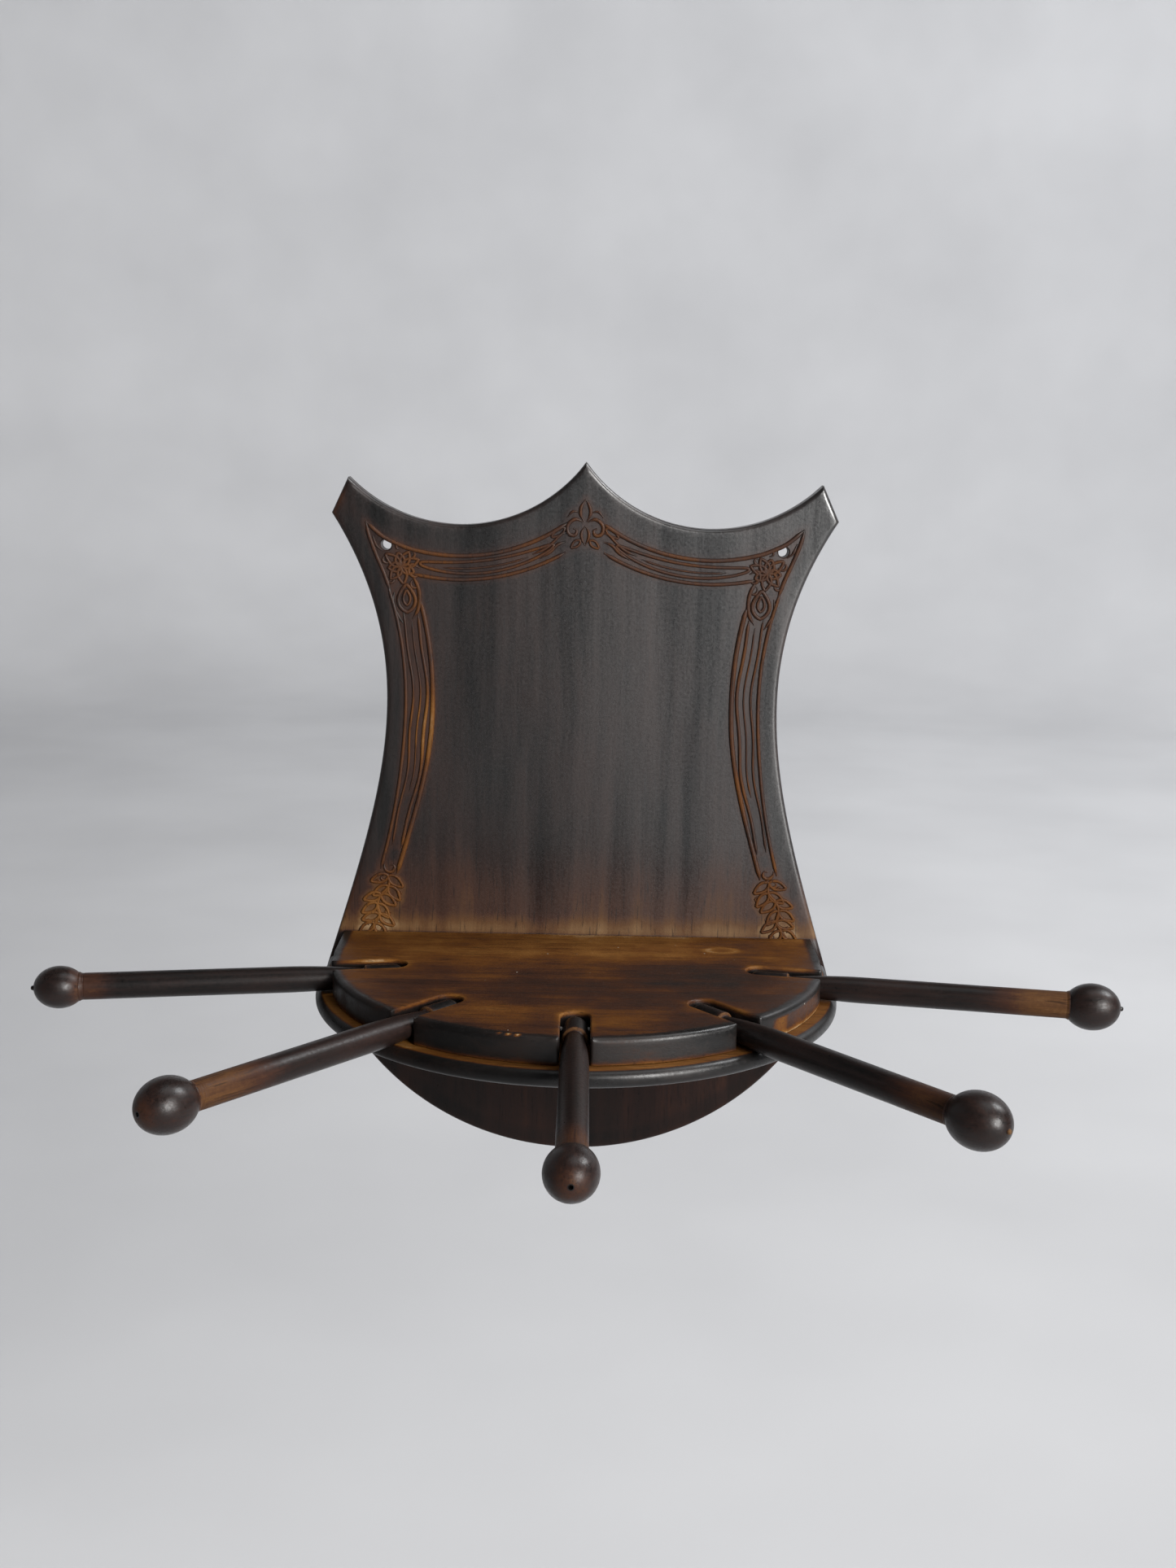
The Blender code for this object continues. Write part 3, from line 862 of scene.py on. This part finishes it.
def corner_cluster():
    """Right-hand corner: a knot of leaves and scrolls under the hanging hole, over a drop."""
    angles = (38, 78, 118, 158, 205, 262, 310, 352)
    lengths = (8.5, 6.0, 7.0, 8.0, 6.0, 7.5, 7.0, 5.5)
    strokes = [petal(0.85, 77.6, 160.0, angle, long, 3.9) for angle, long in zip(angles, lengths)]
    for x, z, radius, start, turn in (
        (84.0, 163.2, 2.3, 200, 300),
        (73.0, 165.4, 2.1, -20, -300),
        (71.6, 152.4, 2.3, 60, -300),
        (82.4, 154.2, 2.1, 130, 290),
        (78.6, 168.6, 1.6, 250, 280),
    ):
        centre = np.array((x, z)) * MM
        strokes.append((curl(centre, radius * MM, math.radians(start), math.radians(turn)), 0.85, False))
    return strokes + [
        petal(1.0, 75.0, 140.6, 88, 12.0, 7.4),
        petal(0.8, 75.1, 143.6, 88, 6.6, 3.0),
        line(1.05, (92.5, 178.5), (91.0, 172.5), (88.2, 165.0), (84.8, 157.0), (82.2, 149.5)),
        line(0.8, (89.6, 172.6), (88.0, 168.6), (85.6, 166.6)),
        line(1.0, (73.0, 156.6), (70.6, 152.0), (69.8, 147.0), (70.4, 142.0), (72.6, 138.0)),
        line(0.8, (80.6, 149.0), (81.0, 144.0), (79.0, 139.5), (76.8, 136.0)),
    ]


def side_band():
    """Right-hand band down the waisted side, which narrows to a curl above the leaves."""
    z = np.linspace(149.0, 31.0, 110) * MM
    down = (z[0] - z) / (z[0] - z[-1])
    narrow = 2.4 * MM * smooth(down, 0.45, 1.0)
    band = SIDE_INNER - SIDE_OUTER - 1.7 * narrow
    outer = side_line(SIDE_OUTER + 0.7 * narrow, z)
    inner = side_line(SIDE_OUTER + 0.7 * narrow + band, z)[8:]
    lines = [(outer, 0.95, False), (inner, 1.25, False)]
    for share, first, last, width in ((0.24, 10, 100, 0.7), (0.50, 14, 78, 0.5), (0.76, 12, 100, 0.9)):
        ripple = 0.05 * np.sin(22.0 * down)
        inset = SIDE_OUTER + 0.7 * narrow + (share + ripple) * band
        lines.append((side_line(inset, z)[first:last], width, False))
    foot = side_line(0.5 * (SIDE_OUTER + SIDE_INNER), np.array([33.0 * MM]))[0]
    lines.append((curl(foot, 3.2 * MM, math.radians(20), -1.7 * math.pi), 0.95, False))
    beside = foot + (3.4 * MM, -4.6 * MM)
    lines.append((curl(beside, 2.2 * MM, math.radians(160), 1.6 * math.pi), 0.8, False))
    return lines


def foot_leaves():
    """Right-hand sprig of tangled leaves above the shelf."""
    stem_z = np.linspace(29.0, 3.5, 7) * MM
    sway = 1.4 * MM * np.sin(np.linspace(0.0, 3.5 * math.pi, 7))
    stem = side_line(0.5 * (SIDE_OUTER + SIDE_INNER) + sway, stem_z)
    lines = [(through(*(stem / MM)), 0.9, False)]
    for number, foot in enumerate(stem[:-1]):
        for side in (-1, 1):
            angle = math.radians(-80 + side * (62 - 14 * (number % 2)))
            lines.append((leaf(foot, angle, 8.2 * MM, 3.8 * MM), 0.85, True))
        centre = foot + np.array((4.4 - 8.8 * (number % 2), -3.2)) * MM
        lines.append((curl(centre, 1.7 * MM, math.radians(70 * number), 1.5 * math.pi), 0.7, False))
    return lines


def relief_strokes():
    """Every strand of the border as its path in (x, z), its share of the full width, and closed or not."""
    half = top_band() + peak_cluster() + corner_cluster() + side_band() + foot_leaves()
    return [(path * (side, 1.0), width, closed) for path, width, closed in half for side in (1.0, -1.0)]


def strand(path, width, closed):
    """Points and faces of one raised strand with a half-round section."""
    path = resample(np.vstack([path, path[:1]]) if closed else path, 0.9 * MM)
    if closed:
        path = path[:-1]
    count = len(path)
    if closed:
        run = np.roll(path, -1, axis=0) - np.roll(path, 1, axis=0)
    else:
        run = np.gradient(path, axis=0)
    way = unit(run)
    side = np.column_stack([-way[:, 1], way[:, 0]])
    taper = np.ones(count)
    if not closed:
        step = np.arange(count)
        taper = np.clip(np.minimum(step, count - 1 - step) / 4.0, 0.25, 1.0) ** 0.5
    bends = np.linspace(0.0, math.pi, 7)
    across = np.outer(taper, np.cos(bends)) * STRAND_WIDTH * width / 2
    rise = np.outer(taper, np.sin(bends)) * (STRAND_HEIGHT * width**0.5 + STRAND_ROOT) - STRAND_ROOT
    flat = path[:, None, :] + across[:, :, None] * side[:, None, :]
    points = np.stack([flat[:, :, 0], BOARD_FRONT - rise, flat[:, :, 1]], axis=2).reshape(-1, 3)
    size = len(bends)
    faces = []
    for k in range(count if closed else count - 1):
        here, there = k * size, ((k + 1) % count) * size
        faces += [(here + j, here + (j + 1) % size, there + (j + 1) % size, there + j) for j in range(size)]
    if not closed:
        faces.append(tuple(range(size)))
        faces.append(tuple(range((count - 1) * size, count * size)))
    return points, faces


def relief_wear(points):
    """Tops of the strands are worn orange-brown, and their flanks keep the dark stain."""
    x, y, z = points.T
    height = (BOARD_FRONT - y) / STRAND_HEIGHT
    top = 0.24 + 0.20 * smooth(height, 0.1, 0.9)
    low = 0.16 * smooth(z, 60 * MM, 5 * MM)
    patchy = 0.07 * np.sin(x / (5 * MM)) * np.sin(z / (9 * MM) + 1.0)
    bright = 0.22 * smooth(np.hypot(x + 66 * MM, (z - 92 * MM) / 2), 11 * MM, 2 * MM)
    return top + low + patchy + bright


def make_relief(material):
    """The whole border as one piece on the front of the board."""
    points, faces = [], []
    base = 0
    for path, width, closed in relief_strokes():
        made, quads = strand(path, width, closed)
        points.append(made)
        faces += [tuple(base + v for v in face) for face in quads]
        base += len(made)
    mesh = mesh_of("border_relief", np.vstack(points), faces, 60.0)
    relief = add_object("border_relief", mesh)
    paint(relief, relief_wear, even(0.45))
    finish_piece(relief, "rack", material, "board_wood")


def strand_distance(flat):
    """Distance from each (x, z) point to the nearest strand's middle line."""
    lines = [resample(path, 1.0 * MM) for path, _, _ in relief_strokes()]
    line_points = np.vstack(lines)
    tree = KDTree(len(line_points))
    for index, (x, z) in enumerate(line_points):
        tree.insert((x, 0.0, z), index)
    tree.balance()
    return np.array([tree.find((x, 0.0, z))[2] for x, z in flat])


# ---------------------------------------------------------------- shelf


# Patches of more or less wear on the shelf top: amount, x, y, outer and inner radius in millimetres.
TOP_PATCHES = ((-0.14, 52, -76, 42, 12), (0.10, 24, -128, 26, 6), (0.10, -30, -122, 24, 6))


def slot_distance(points):
    """Distance in plan from the nearest slot's edge, outside the slot."""
    nearest = np.full(len(points), np.inf)
    for arm in ARMS:
        angle = arm_angle(arm)
        offset = points[:, :2] - (0.0, SHELF_AXIS_Y)
        out = offset @ (math.sin(angle), -math.cos(angle))
        aside = offset @ (math.cos(angle), math.sin(angle))
        reach = np.where(out > PIVOT_RADIUS, np.abs(aside), np.hypot(out - PIVOT_RADIUS, aside))
        nearest = np.minimum(nearest, reach - SLOT_HALF_WIDTH)
    return nearest


def rim_radius(points):
    """Distance from the shelf's axis in front of it, and from its middle plane behind it."""
    x, y = points[:, 0], points[:, 1]
    return np.where(y < SHELF_AXIS_Y, np.hypot(x, y - SHELF_AXIS_Y), np.abs(x))


def slotted_wear(points):
    """Wear of the upper plate: golden by the board and the slots, dark at the rim."""
    x, y, z = points.T
    radius = rim_radius(points)
    near_board = smooth(y, -84 * MM, -30 * MM)
    worn = 0.40 + 0.24 * near_board * (1.0 - 0.75 * smooth(x, 0.0, 80 * MM))
    worn = worn + 0.10 * smooth(y, -20 * MM, -11 * MM)
    for amount, at_x, at_y, outer, inner in TOP_PATCHES:
        away = np.hypot(x - at_x * MM, y - at_y * MM)
        worn = worn + amount * smooth(away, outer * MM, inner * MM)
    slot = slot_distance(points)
    pale = np.exp(-((np.maximum(slot, 0.0) / (1.5 * MM)) ** 2)) + 0.3 * smooth(slot, 9 * MM, 0.0)
    patches = 0.65 + 0.35 * np.sin(x / (3.1 * MM)) * np.sin(y / (3.7 * MM))
    worn = worn + 0.24 * pale * patches * smooth(radius, 100 * MM, 93 * MM)
    patch = np.hypot((x - 62 * MM) / 8, (y + 30 * MM) / 5)
    worn = worn + 0.26 * smooth(patch, 1.25 * MM, 0.75 * MM) - 0.20 * smooth(patch, 0.8 * MM, 0.3 * MM)
    dark_rim = smooth(radius, 98.8 * MM, 99.9 * MM)
    worn = worn * (1 - dark_rim) + 0.06 * dark_rim
    chips = smooth(np.abs(x + 24 * MM), 5 * MM, 3 * MM) * (np.sin(x / (0.5 * MM)) > 0.2)
    worn = worn + 0.9 * chips * smooth(np.abs(radius - 101.2 * MM), 0.8 * MM, 0.2 * MM) * (z > -3 * MM)
    bearing = np.arctan2(x, SHELF_AXIS_Y - y)
    wall = smooth(z, -2.0 * MM, -3.2 * MM) * smooth(radius, 101.6 * MM, 102.3 * MM)
    bare = smooth(bearing, math.radians(46), math.radians(50))
    bare = bare * smooth(bearing, math.radians(84), math.radians(70))
    worn = worn + wall * bare * (0.34 + 0.2 * smooth(np.abs(bearing - math.radians(50)), 0.09, 0.03))
    base_line = smooth(z, -8.6 * MM, -10.2 * MM) * smooth(radius, 101.0 * MM, 102.0 * MM)
    worn = worn + 0.46 * base_line
    in_slot = smooth(z, -0.9 * MM, -2.0 * MM) * smooth(slot, 0.6 * MM, 0.1 * MM)
    in_slot = in_slot * smooth(radius, 102.0 * MM, 101.0 * MM)
    return worn * (1 - in_slot) + 0.08 * in_slot


def lower_wear(points):
    """A worn ledge in front of the upper plate, a plain underside and a dark nose."""
    x, _, z = points.T
    radius = rim_radius(points)
    ledge = smooth(z, LOWER_HIGH.z - 0.8 * MM, LOWER_HIGH.z - 0.3 * MM)
    ledge = smooth(radius, 107.4 * MM, 106.2 * MM) * ledge
    under = smooth(z, LOWER_LOW.z + 0.8 * MM, LOWER_LOW.z + 0.1 * MM)
    nose = 0.03 + 0.10 * smooth(np.abs(x + 72 * MM), 16 * MM, 4 * MM)
    return nose + 0.62 * ledge + 0.22 * under


def shelf_polish_and_painted_sheen(points):
    """Polish on the shelf: little on its top. On its rims a painted sheen, stronger towards the right as a
    highlight from light on the right.
    """
    x, _, z = points.T
    top = smooth(z, SLOTTED_HIGH.z - 0.2 * MM, SLOTTED_HIGH.z - 0.02 * MM)
    # Painted sheen on the rims, rising to the right.
    rims = 0.08 + 0.34 * smooth(x, -75 * MM, 20 * MM)
    return 0.22 * top + rims * (1 - top)


def make_slotted_plate(material):
    """The upper plate. Pin grooves and screw holes are left out, hidden in the wood."""
    outline, rounding = slotted_outline()
    low, high = SLOTTED_LOW.z, SLOTTED_HIGH.z
    mesh = plate_mesh(
        "slotted_plate_fine", outline, low, high, BACK_EDGE_ROUND, rounding, PLATE_MESH_STEP, 6
    )
    plate = add_object("slotted_plate_fine", mesh)
    paint(plate, slotted_wear, shelf_polish_and_painted_sheen)
    finish_piece(plate, "rack", material, "shelf_wood", "slotted_plate")


def make_lower_plate(material):
    """The lower plate with its round nose and its screw holes."""
    low, high = LOWER_LOW.z, LOWER_HIGH.z
    mesh = plate_mesh(
        "lower_plate_fine", lower_outline(), low, high, LOWER_NOSE, LOWER_NOSE, PLATE_MESH_STEP, 1, 8
    )
    plate = add_object("lower_plate_fine", mesh)
    _, places = screw_places("plate_screw", "Z")
    cut(plate, hole_cutters("plate_hole", places, INTO_SHELF))
    paint(plate, lower_wear, shelf_polish_and_painted_sheen)
    finish_piece(plate, "rack", material, "lower_wood", "lower_plate")


# ---------------------------------------------------------------- arms

# How far the bare wood runs up the rod from the knob in millimetres, how bare it is, how worn the
# rest of the rod and the knob are, how much barer the knob is beside the rod, how many rings are
# turned there, whether the tip has a nub or a turning hole, and how much barer the tip is.
ArmLook = namedtuple("ArmLook", "bare_run bare rod knob knob_bare rings nub tip_bare")
ARM_LOOKS = {
    "arm_1": ArmLook(17, 0.36, 0.05, 0.13, 0.28, 2, True, -0.1),
    "arm_2": ArmLook(44, 0.50, 0.12, 0.17, 0.06, 5, False, -0.1),
    "arm_3": ArmLook(26, 0.44, 0.10, 0.18, 0.05, 2, False, -0.1),
    "arm_4": ArmLook(34, 0.42, 0.07, 0.15, 0.05, 1, True, 0.5),
    "arm_5": ArmLook(40, 0.54, 0.09, 0.14, 0.00, 1, True, -0.1),
}


def knob_radius(arm):
    """Half the knob's width, from the height of the arm's box."""
    low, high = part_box(arm)
    return (high.z - low.z) / 2


def arm_profile(knob, look):
    """Rows of (x, radius): domed head, shoulder, neck, swelling rod, fillet, egg knob and tip."""
    turns = np.linspace(0.0, math.pi / 2, 12)
    dome = [(-HEAD_RADIUS * math.cos(t), HEAD_RADIUS * math.sin(t)) for t in turns]
    shoulder = [(HEAD_LENGTH * share, HEAD_RADIUS) for share in (0.25, 0.5, 0.75)]
    drop = 0.9 * MM
    for t in np.linspace(0.0, math.pi / 2, 5):
        shoulder.append((HEAD_LENGTH - drop + drop * math.sin(t), HEAD_RADIUS - drop + drop * math.cos(t)))
    neck = HEAD_LENGTH + 0.5 * MM
    half_length = KNOB_LENGTHENING * knob
    join = math.asin(ROD_RADIUS / knob)
    knob_start = KNOB_CENTRE - half_length * math.cos(join)
    rod = []
    for x in np.arange(neck, knob_start - 4 * MM, 1.2 * MM):
        t = min(1.0, (x - neck) / (SWELL_END - neck))
        rod.append((x, NECK_RADIUS + t * (2 - t) * (ROD_RADIUS - NECK_RADIUS)))
    for x in np.arange(knob_start - 4 * MM, knob_start, 0.25 * MM):
        from_knob = (knob_start - x) / MM
        groove = 0.0
        for index in range(look.rings):
            groove += 0.14 * MM * math.exp(-(((from_knob - 0.9 - 0.62 * index) / 0.16) ** 2))
        fillet = 0.45 * MM * math.exp(-from_knob / 0.55)
        rod.append((x, ROD_RADIUS + fillet - groove))
    last_radius = NUB_RADIUS if look.nub else TIP_HOLE_RADIUS
    first_turn = join + 0.5 * MM / knob
    last_turn = math.pi - math.asin(last_radius / knob)
    egg = [
        (KNOB_CENTRE - half_length * math.cos(t), knob * math.sin(t))
        for t in np.linspace(first_turn, last_turn, 46)
    ]
    tip = KNOB_CENTRE + half_length
    if look.nub:
        end = [(tip + 0.35 * MM, 0.85 * NUB_RADIUS), (tip + 0.8 * MM, 0.7 * NUB_RADIUS)]
        end += [(tip + NUB_LENGTH, 0.35 * NUB_RADIUS), (tip + NUB_LENGTH, 0.0)]
    else:
        rim_x = egg[-1][0]
        end = []
        for share in (0.15, 0.5, 1):
            end.append((rim_x - share * TIP_HOLE_DEPTH, TIP_HOLE_RADIUS * (1 - 0.25 * share)))
        end.append((rim_x - 1.2 * TIP_HOLE_DEPTH, 0.0))
    return dome + shoulder + rod + egg + end


def arm_wear_and_hole_shade(knob, look):
    """The wear of one arm, with painted shade in its tip hole, as a function of points in the arm's own
    frame.
    """
    join = math.asin(ROD_RADIUS / knob)
    knob_start = KNOB_CENTRE - KNOB_LENGTHENING * knob * math.cos(join)
    tip = KNOB_CENTRE + KNOB_LENGTHENING * knob

    def wear(points):
        x = points[:, 0]
        radius = np.hypot(points[:, 1], points[:, 2])
        run = look.bare_run * MM
        bare = smooth(x, knob_start - run, knob_start - 0.30 * run)
        rod = look.rod + (look.bare - look.rod) * bare
        past = smooth(x, knob_start - 0.4 * MM, knob_start + 0.9 * MM)
        fade = smooth(x, knob_start + 0.75 * knob, knob_start)
        knob_worn = look.knob + look.knob_bare * fade
        knob_worn += 0.22 * smooth(x, tip - 0.45 * knob, tip) * (not look.nub)
        worn = rod * (1 - past) + knob_worn * past
        nub = smooth(x, tip - 0.1 * MM, tip + 0.4 * MM)
        worn = worn + nub * look.tip_bare
        head = smooth(x, HEAD_LENGTH + 0.8 * MM, HEAD_LENGTH + 0.2 * MM)
        ring_worn = smooth(np.abs(x - HEAD_LENGTH + 0.3 * MM), 0.9 * MM, 0.2 * MM)
        worn = worn * (1 - head) + 0.04 * head + 0.55 * ring_worn
        # Painted shade: the turning hole at the tip and its rim are painted near black.
        hole = smooth(radius, TIP_HOLE_RADIUS * 1.25, TIP_HOLE_RADIUS) * (x > KNOB_CENTRE)
        return worn - (0.6 * hole if not look.nub else 0.0)

    return wear


def arm_wax(points):
    """The rods are nearly dry, and handling has polished the knobs."""
    return 0.20 + 0.14 * smooth(points[:, 0], KNOB_CENTRE - 12 * MM, KNOB_CENTRE - 6 * MM)


def arm_place(arm):
    """The arm's own frame: its pivot, with X pointing out along the arm."""
    turn = Matrix.Rotation(arm_angle(arm) - math.pi / 2, 4, "Z")
    return Matrix.Translation(JOINTS[arm]["pos_m"]) @ turn


def make_arm(arm, material):
    """One arm in its place. Its pin bore is left out, hidden in the head."""
    look = ARM_LOOKS[arm]
    knob = knob_radius(arm)
    phase = 1.7 * ARMS.index(arm)

    def wobble(x, angles):
        """How far the lathe left the arm out of round, as a share of its radius."""
        oval = 0.006 * np.sin(2 * angles + phase + x / (37 * MM))
        return oval + 0.003 * np.sin(3 * angles - x / (23 * MM) + phase)

    mesh = turned_mesh(f"{arm}_fine", arm_profile(knob, look), 64, wobble)
    piece = add_object(f"{arm}_fine", mesh)
    paint(piece, arm_wear_and_hole_shade(knob, look), arm_wax)
    mesh.transform(arm_place(arm))
    finish_piece(piece, arm, material, "arm_wood", arm)


# ---------------------------------------------------------------- screws and pins


def screw_mesh(name, length):
    """A countersunk screw along X, with its head at the origin."""
    dome = 0.15 * MM
    profile = [
        (-dome, 0.0),
        (-dome, 1.6 * MM),
        (-0.5 * dome, 3.0 * MM),
        (0.05 * MM, SCREW_HEAD_RADIUS - 0.1 * MM),
        (0.3 * MM, SCREW_HEAD_RADIUS),
        (SCREW_HEAD_DEPTH, SCREW_RADIUS),
        (length - 3.0 * MM, SCREW_RADIUS),
        (length - 0.3 * MM, 0.4 * MM),
        (length, 0.0),
    ]
    return turned_mesh(name, profile, 48, smooth_angle=30.0)


def make_screws(label, head_side, turn, material):
    """The screws of one kind, each with a driver slot turned its own way."""
    names, places = screw_places(label, head_side)
    for number, (name, place) in enumerate(zip(names, places)):
        low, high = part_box(name)
        length = max(high - low)
        roll = Matrix.Rotation(0.9 * number + 0.4, 4, "X")
        screw = add_object(f"{name}_fine", screw_mesh(f"{name}_fine", length), place @ turn @ roll)
        bm = bmesh.new()
        bmesh.ops.create_cube(bm, size=1.0)
        bmesh.ops.scale(bm, verts=bm.verts, vec=(2.0 * MM, 9.0 * MM, 0.8 * MM))
        slot_mesh = bpy.data.meshes.new("driver_slot")
        bm.to_mesh(slot_mesh)
        bm.free()
        cut(screw, [add_object("driver_slot", slot_mesh, place @ turn @ roll)])
        screw.data.transform(screw.matrix_world)
        screw.matrix_world = Matrix()
        finish_piece(screw, "rack", material, "screw_steel", name)


def finish_pins(material):
    """Gives the CAD pins their steel."""
    for name, node in frame["nodes"].items():
        if name.startswith("pivot_pin"):
            node.data.materials.clear()
            node.data.materials.append(material)


# ---------------------------------------------------------------- stage


def make_backdrop(material):
    """A pale round floor that curves up into a wall all round the object, far from it."""
    floor_radius, bend_radius, wall_top, steps = 3.4, 1.0, 3.4, 96
    profile = [(radius, FLOOR_Z) for radius in (0.05, 0.5, 1.5, 2.5, 3.3, floor_radius)]
    for step in range(1, 17):
        turn = math.pi / 2 * step / 16
        rise = bend_radius * (1 - math.cos(turn))
        profile.append((floor_radius + bend_radius * math.sin(turn), FLOOR_Z + rise))
    profile.append((floor_radius + bend_radius, wall_top))
    angles = np.linspace(0.0, 2 * math.pi, steps, endpoint=False)
    circle = np.column_stack([np.cos(angles), np.sin(angles)])
    points = [np.column_stack([radius * circle, np.full(steps, z)]) for radius, z in profile]
    faces = [tuple(range(steps))]
    for number in range(len(profile) - 1):
        faces += ring_quads((number + 1) * steps, number * steps, steps)
    mesh = bpy.data.meshes.new("backdrop")
    mesh.from_pydata([tuple(p) for p in np.vstack(points)], [], faces)
    mesh.shade_smooth()
    backdrop = add_object("backdrop", mesh)
    backdrop.data.materials.append(material)


def make_area_light(name, at, target, size, power, spread, colour):
    """A rectangular light that faces its target."""
    data = bpy.data.lights.new(name, "AREA")
    data.shape = "RECTANGLE"
    data.size, data.size_y = size
    data.energy = power
    data.spread = math.radians(spread)
    data.color = colour
    light = bpy.data.objects.new(name, data)
    bpy.context.scene.collection.objects.link(light)
    light.location = at
    light.rotation_euler = (Vector(target) - Vector(at)).to_track_quat("-Z", "Y").to_euler()


def make_lights():
    """A large window light from the right, light on both walls, a weak ceiling and a dim room."""
    middle = (0.0, -0.06, 0.06)
    cool = (0.97, 0.985, 1.0)
    make_area_light("window", (1.72, -2.35, 0.95), middle, (1.25, 1.45), 52.0, 110, (1.0, 0.99, 0.97))
    make_area_light("backdrop_light", (2.4, 0.6, 2.6), (0.2, 3.8, 0.9), (1.6, 1.4), 160.0, 170, cool)
    make_area_light("front_wall_light", (1.5, -2.1, 2.6), (2.6, -3.6, 0.6), (1.4, 1.0), 45.0, 150, cool)
    make_area_light("ceiling", (0.3, -0.2, 1.5), middle, (0.9, 0.9), 0.7, 70, cool)
    world = bpy.data.worlds.new("soft_room")
    world.use_nodes = True
    background = world.node_tree.nodes["Background"]
    background.inputs["Color"].default_value = (0.96, 0.98, 1.0, 1.0)
    background.inputs["Strength"].default_value = 0.09
    bpy.context.scene.world = world


def make_camera():
    """The camera from its place and its three angles."""
    look = Vector((math.sin(CAMERA_YAW), math.cos(CAMERA_YAW), 0.0)) * math.cos(CAMERA_PITCH)
    look.z = -math.sin(CAMERA_PITCH)
    level_right = Vector((math.cos(CAMERA_YAW), -math.sin(CAMERA_YAW), 0.0))
    level_up = level_right.cross(look)
    right = level_right * math.cos(CAMERA_ROLL) + level_up * math.sin(CAMERA_ROLL)
    up = level_up * math.cos(CAMERA_ROLL) - level_right * math.sin(CAMERA_ROLL)
    data = bpy.data.cameras.new("camera")
    data.lens = CAMERA_LENS
    data.clip_start, data.clip_end = 0.01, 50.0
    camera = bpy.data.objects.new("camera", data)
    bpy.context.scene.collection.objects.link(camera)
    camera.matrix_world = Matrix.Translation(CAMERA_AT) @ Matrix((right, up, -look)).transposed().to_4x4()
    bpy.context.scene.camera = camera


def main():
    """Builds every piece, then the stage, the lights and the camera."""
    board_wood = wood("board_wood", "Z", TAN, 0.38, lean=0.06, streaks=0.24, blotches=0.12, fibres=0.08)
    relief_wood = wood("relief_wood", "Z", GOLDEN, 0.50, streaks=0.10, blotches=0.34, fibres=0.12)
    shelf_wood = wood("shelf_wood", "X", GOLDEN, 0.40, streaks=0.26, blotches=0.32, specks=0.10)
    lower_wood = wood("lower_wood", "X", GOLDEN, 0.38, streaks=0.14, blotches=0.16)
    arm_wood = wood("arm_wood", "X", TAN, 0.33, streaks=0.10, blotches=0.14, fibres=0.20, relief=0.7)
    pin_steel = steel("pin_steel", (0.30, 0.29, 0.28), 0.45, 0.5)
    screw_steel = steel("screw_steel", (0.36, 0.34, 0.30), 0.40, 0.8)

    make_backboard(board_wood)
    make_relief(relief_wood)
    make_slotted_plate(shelf_wood)
    make_lower_plate(lower_wood)
    for arm in ARMS:
        make_arm(arm, arm_wood)
    make_screws("board_screw", "Y", INTO_BOARD, screw_steel)
    make_screws("plate_screw", "Z", INTO_SHELF, screw_steel)
    finish_pins(pin_steel)

    make_backdrop(pale_cloth("pale_cloth"))
    make_lights()
    make_camera()
    bpy.context.scene.view_settings.view_transform = "Standard"


main()
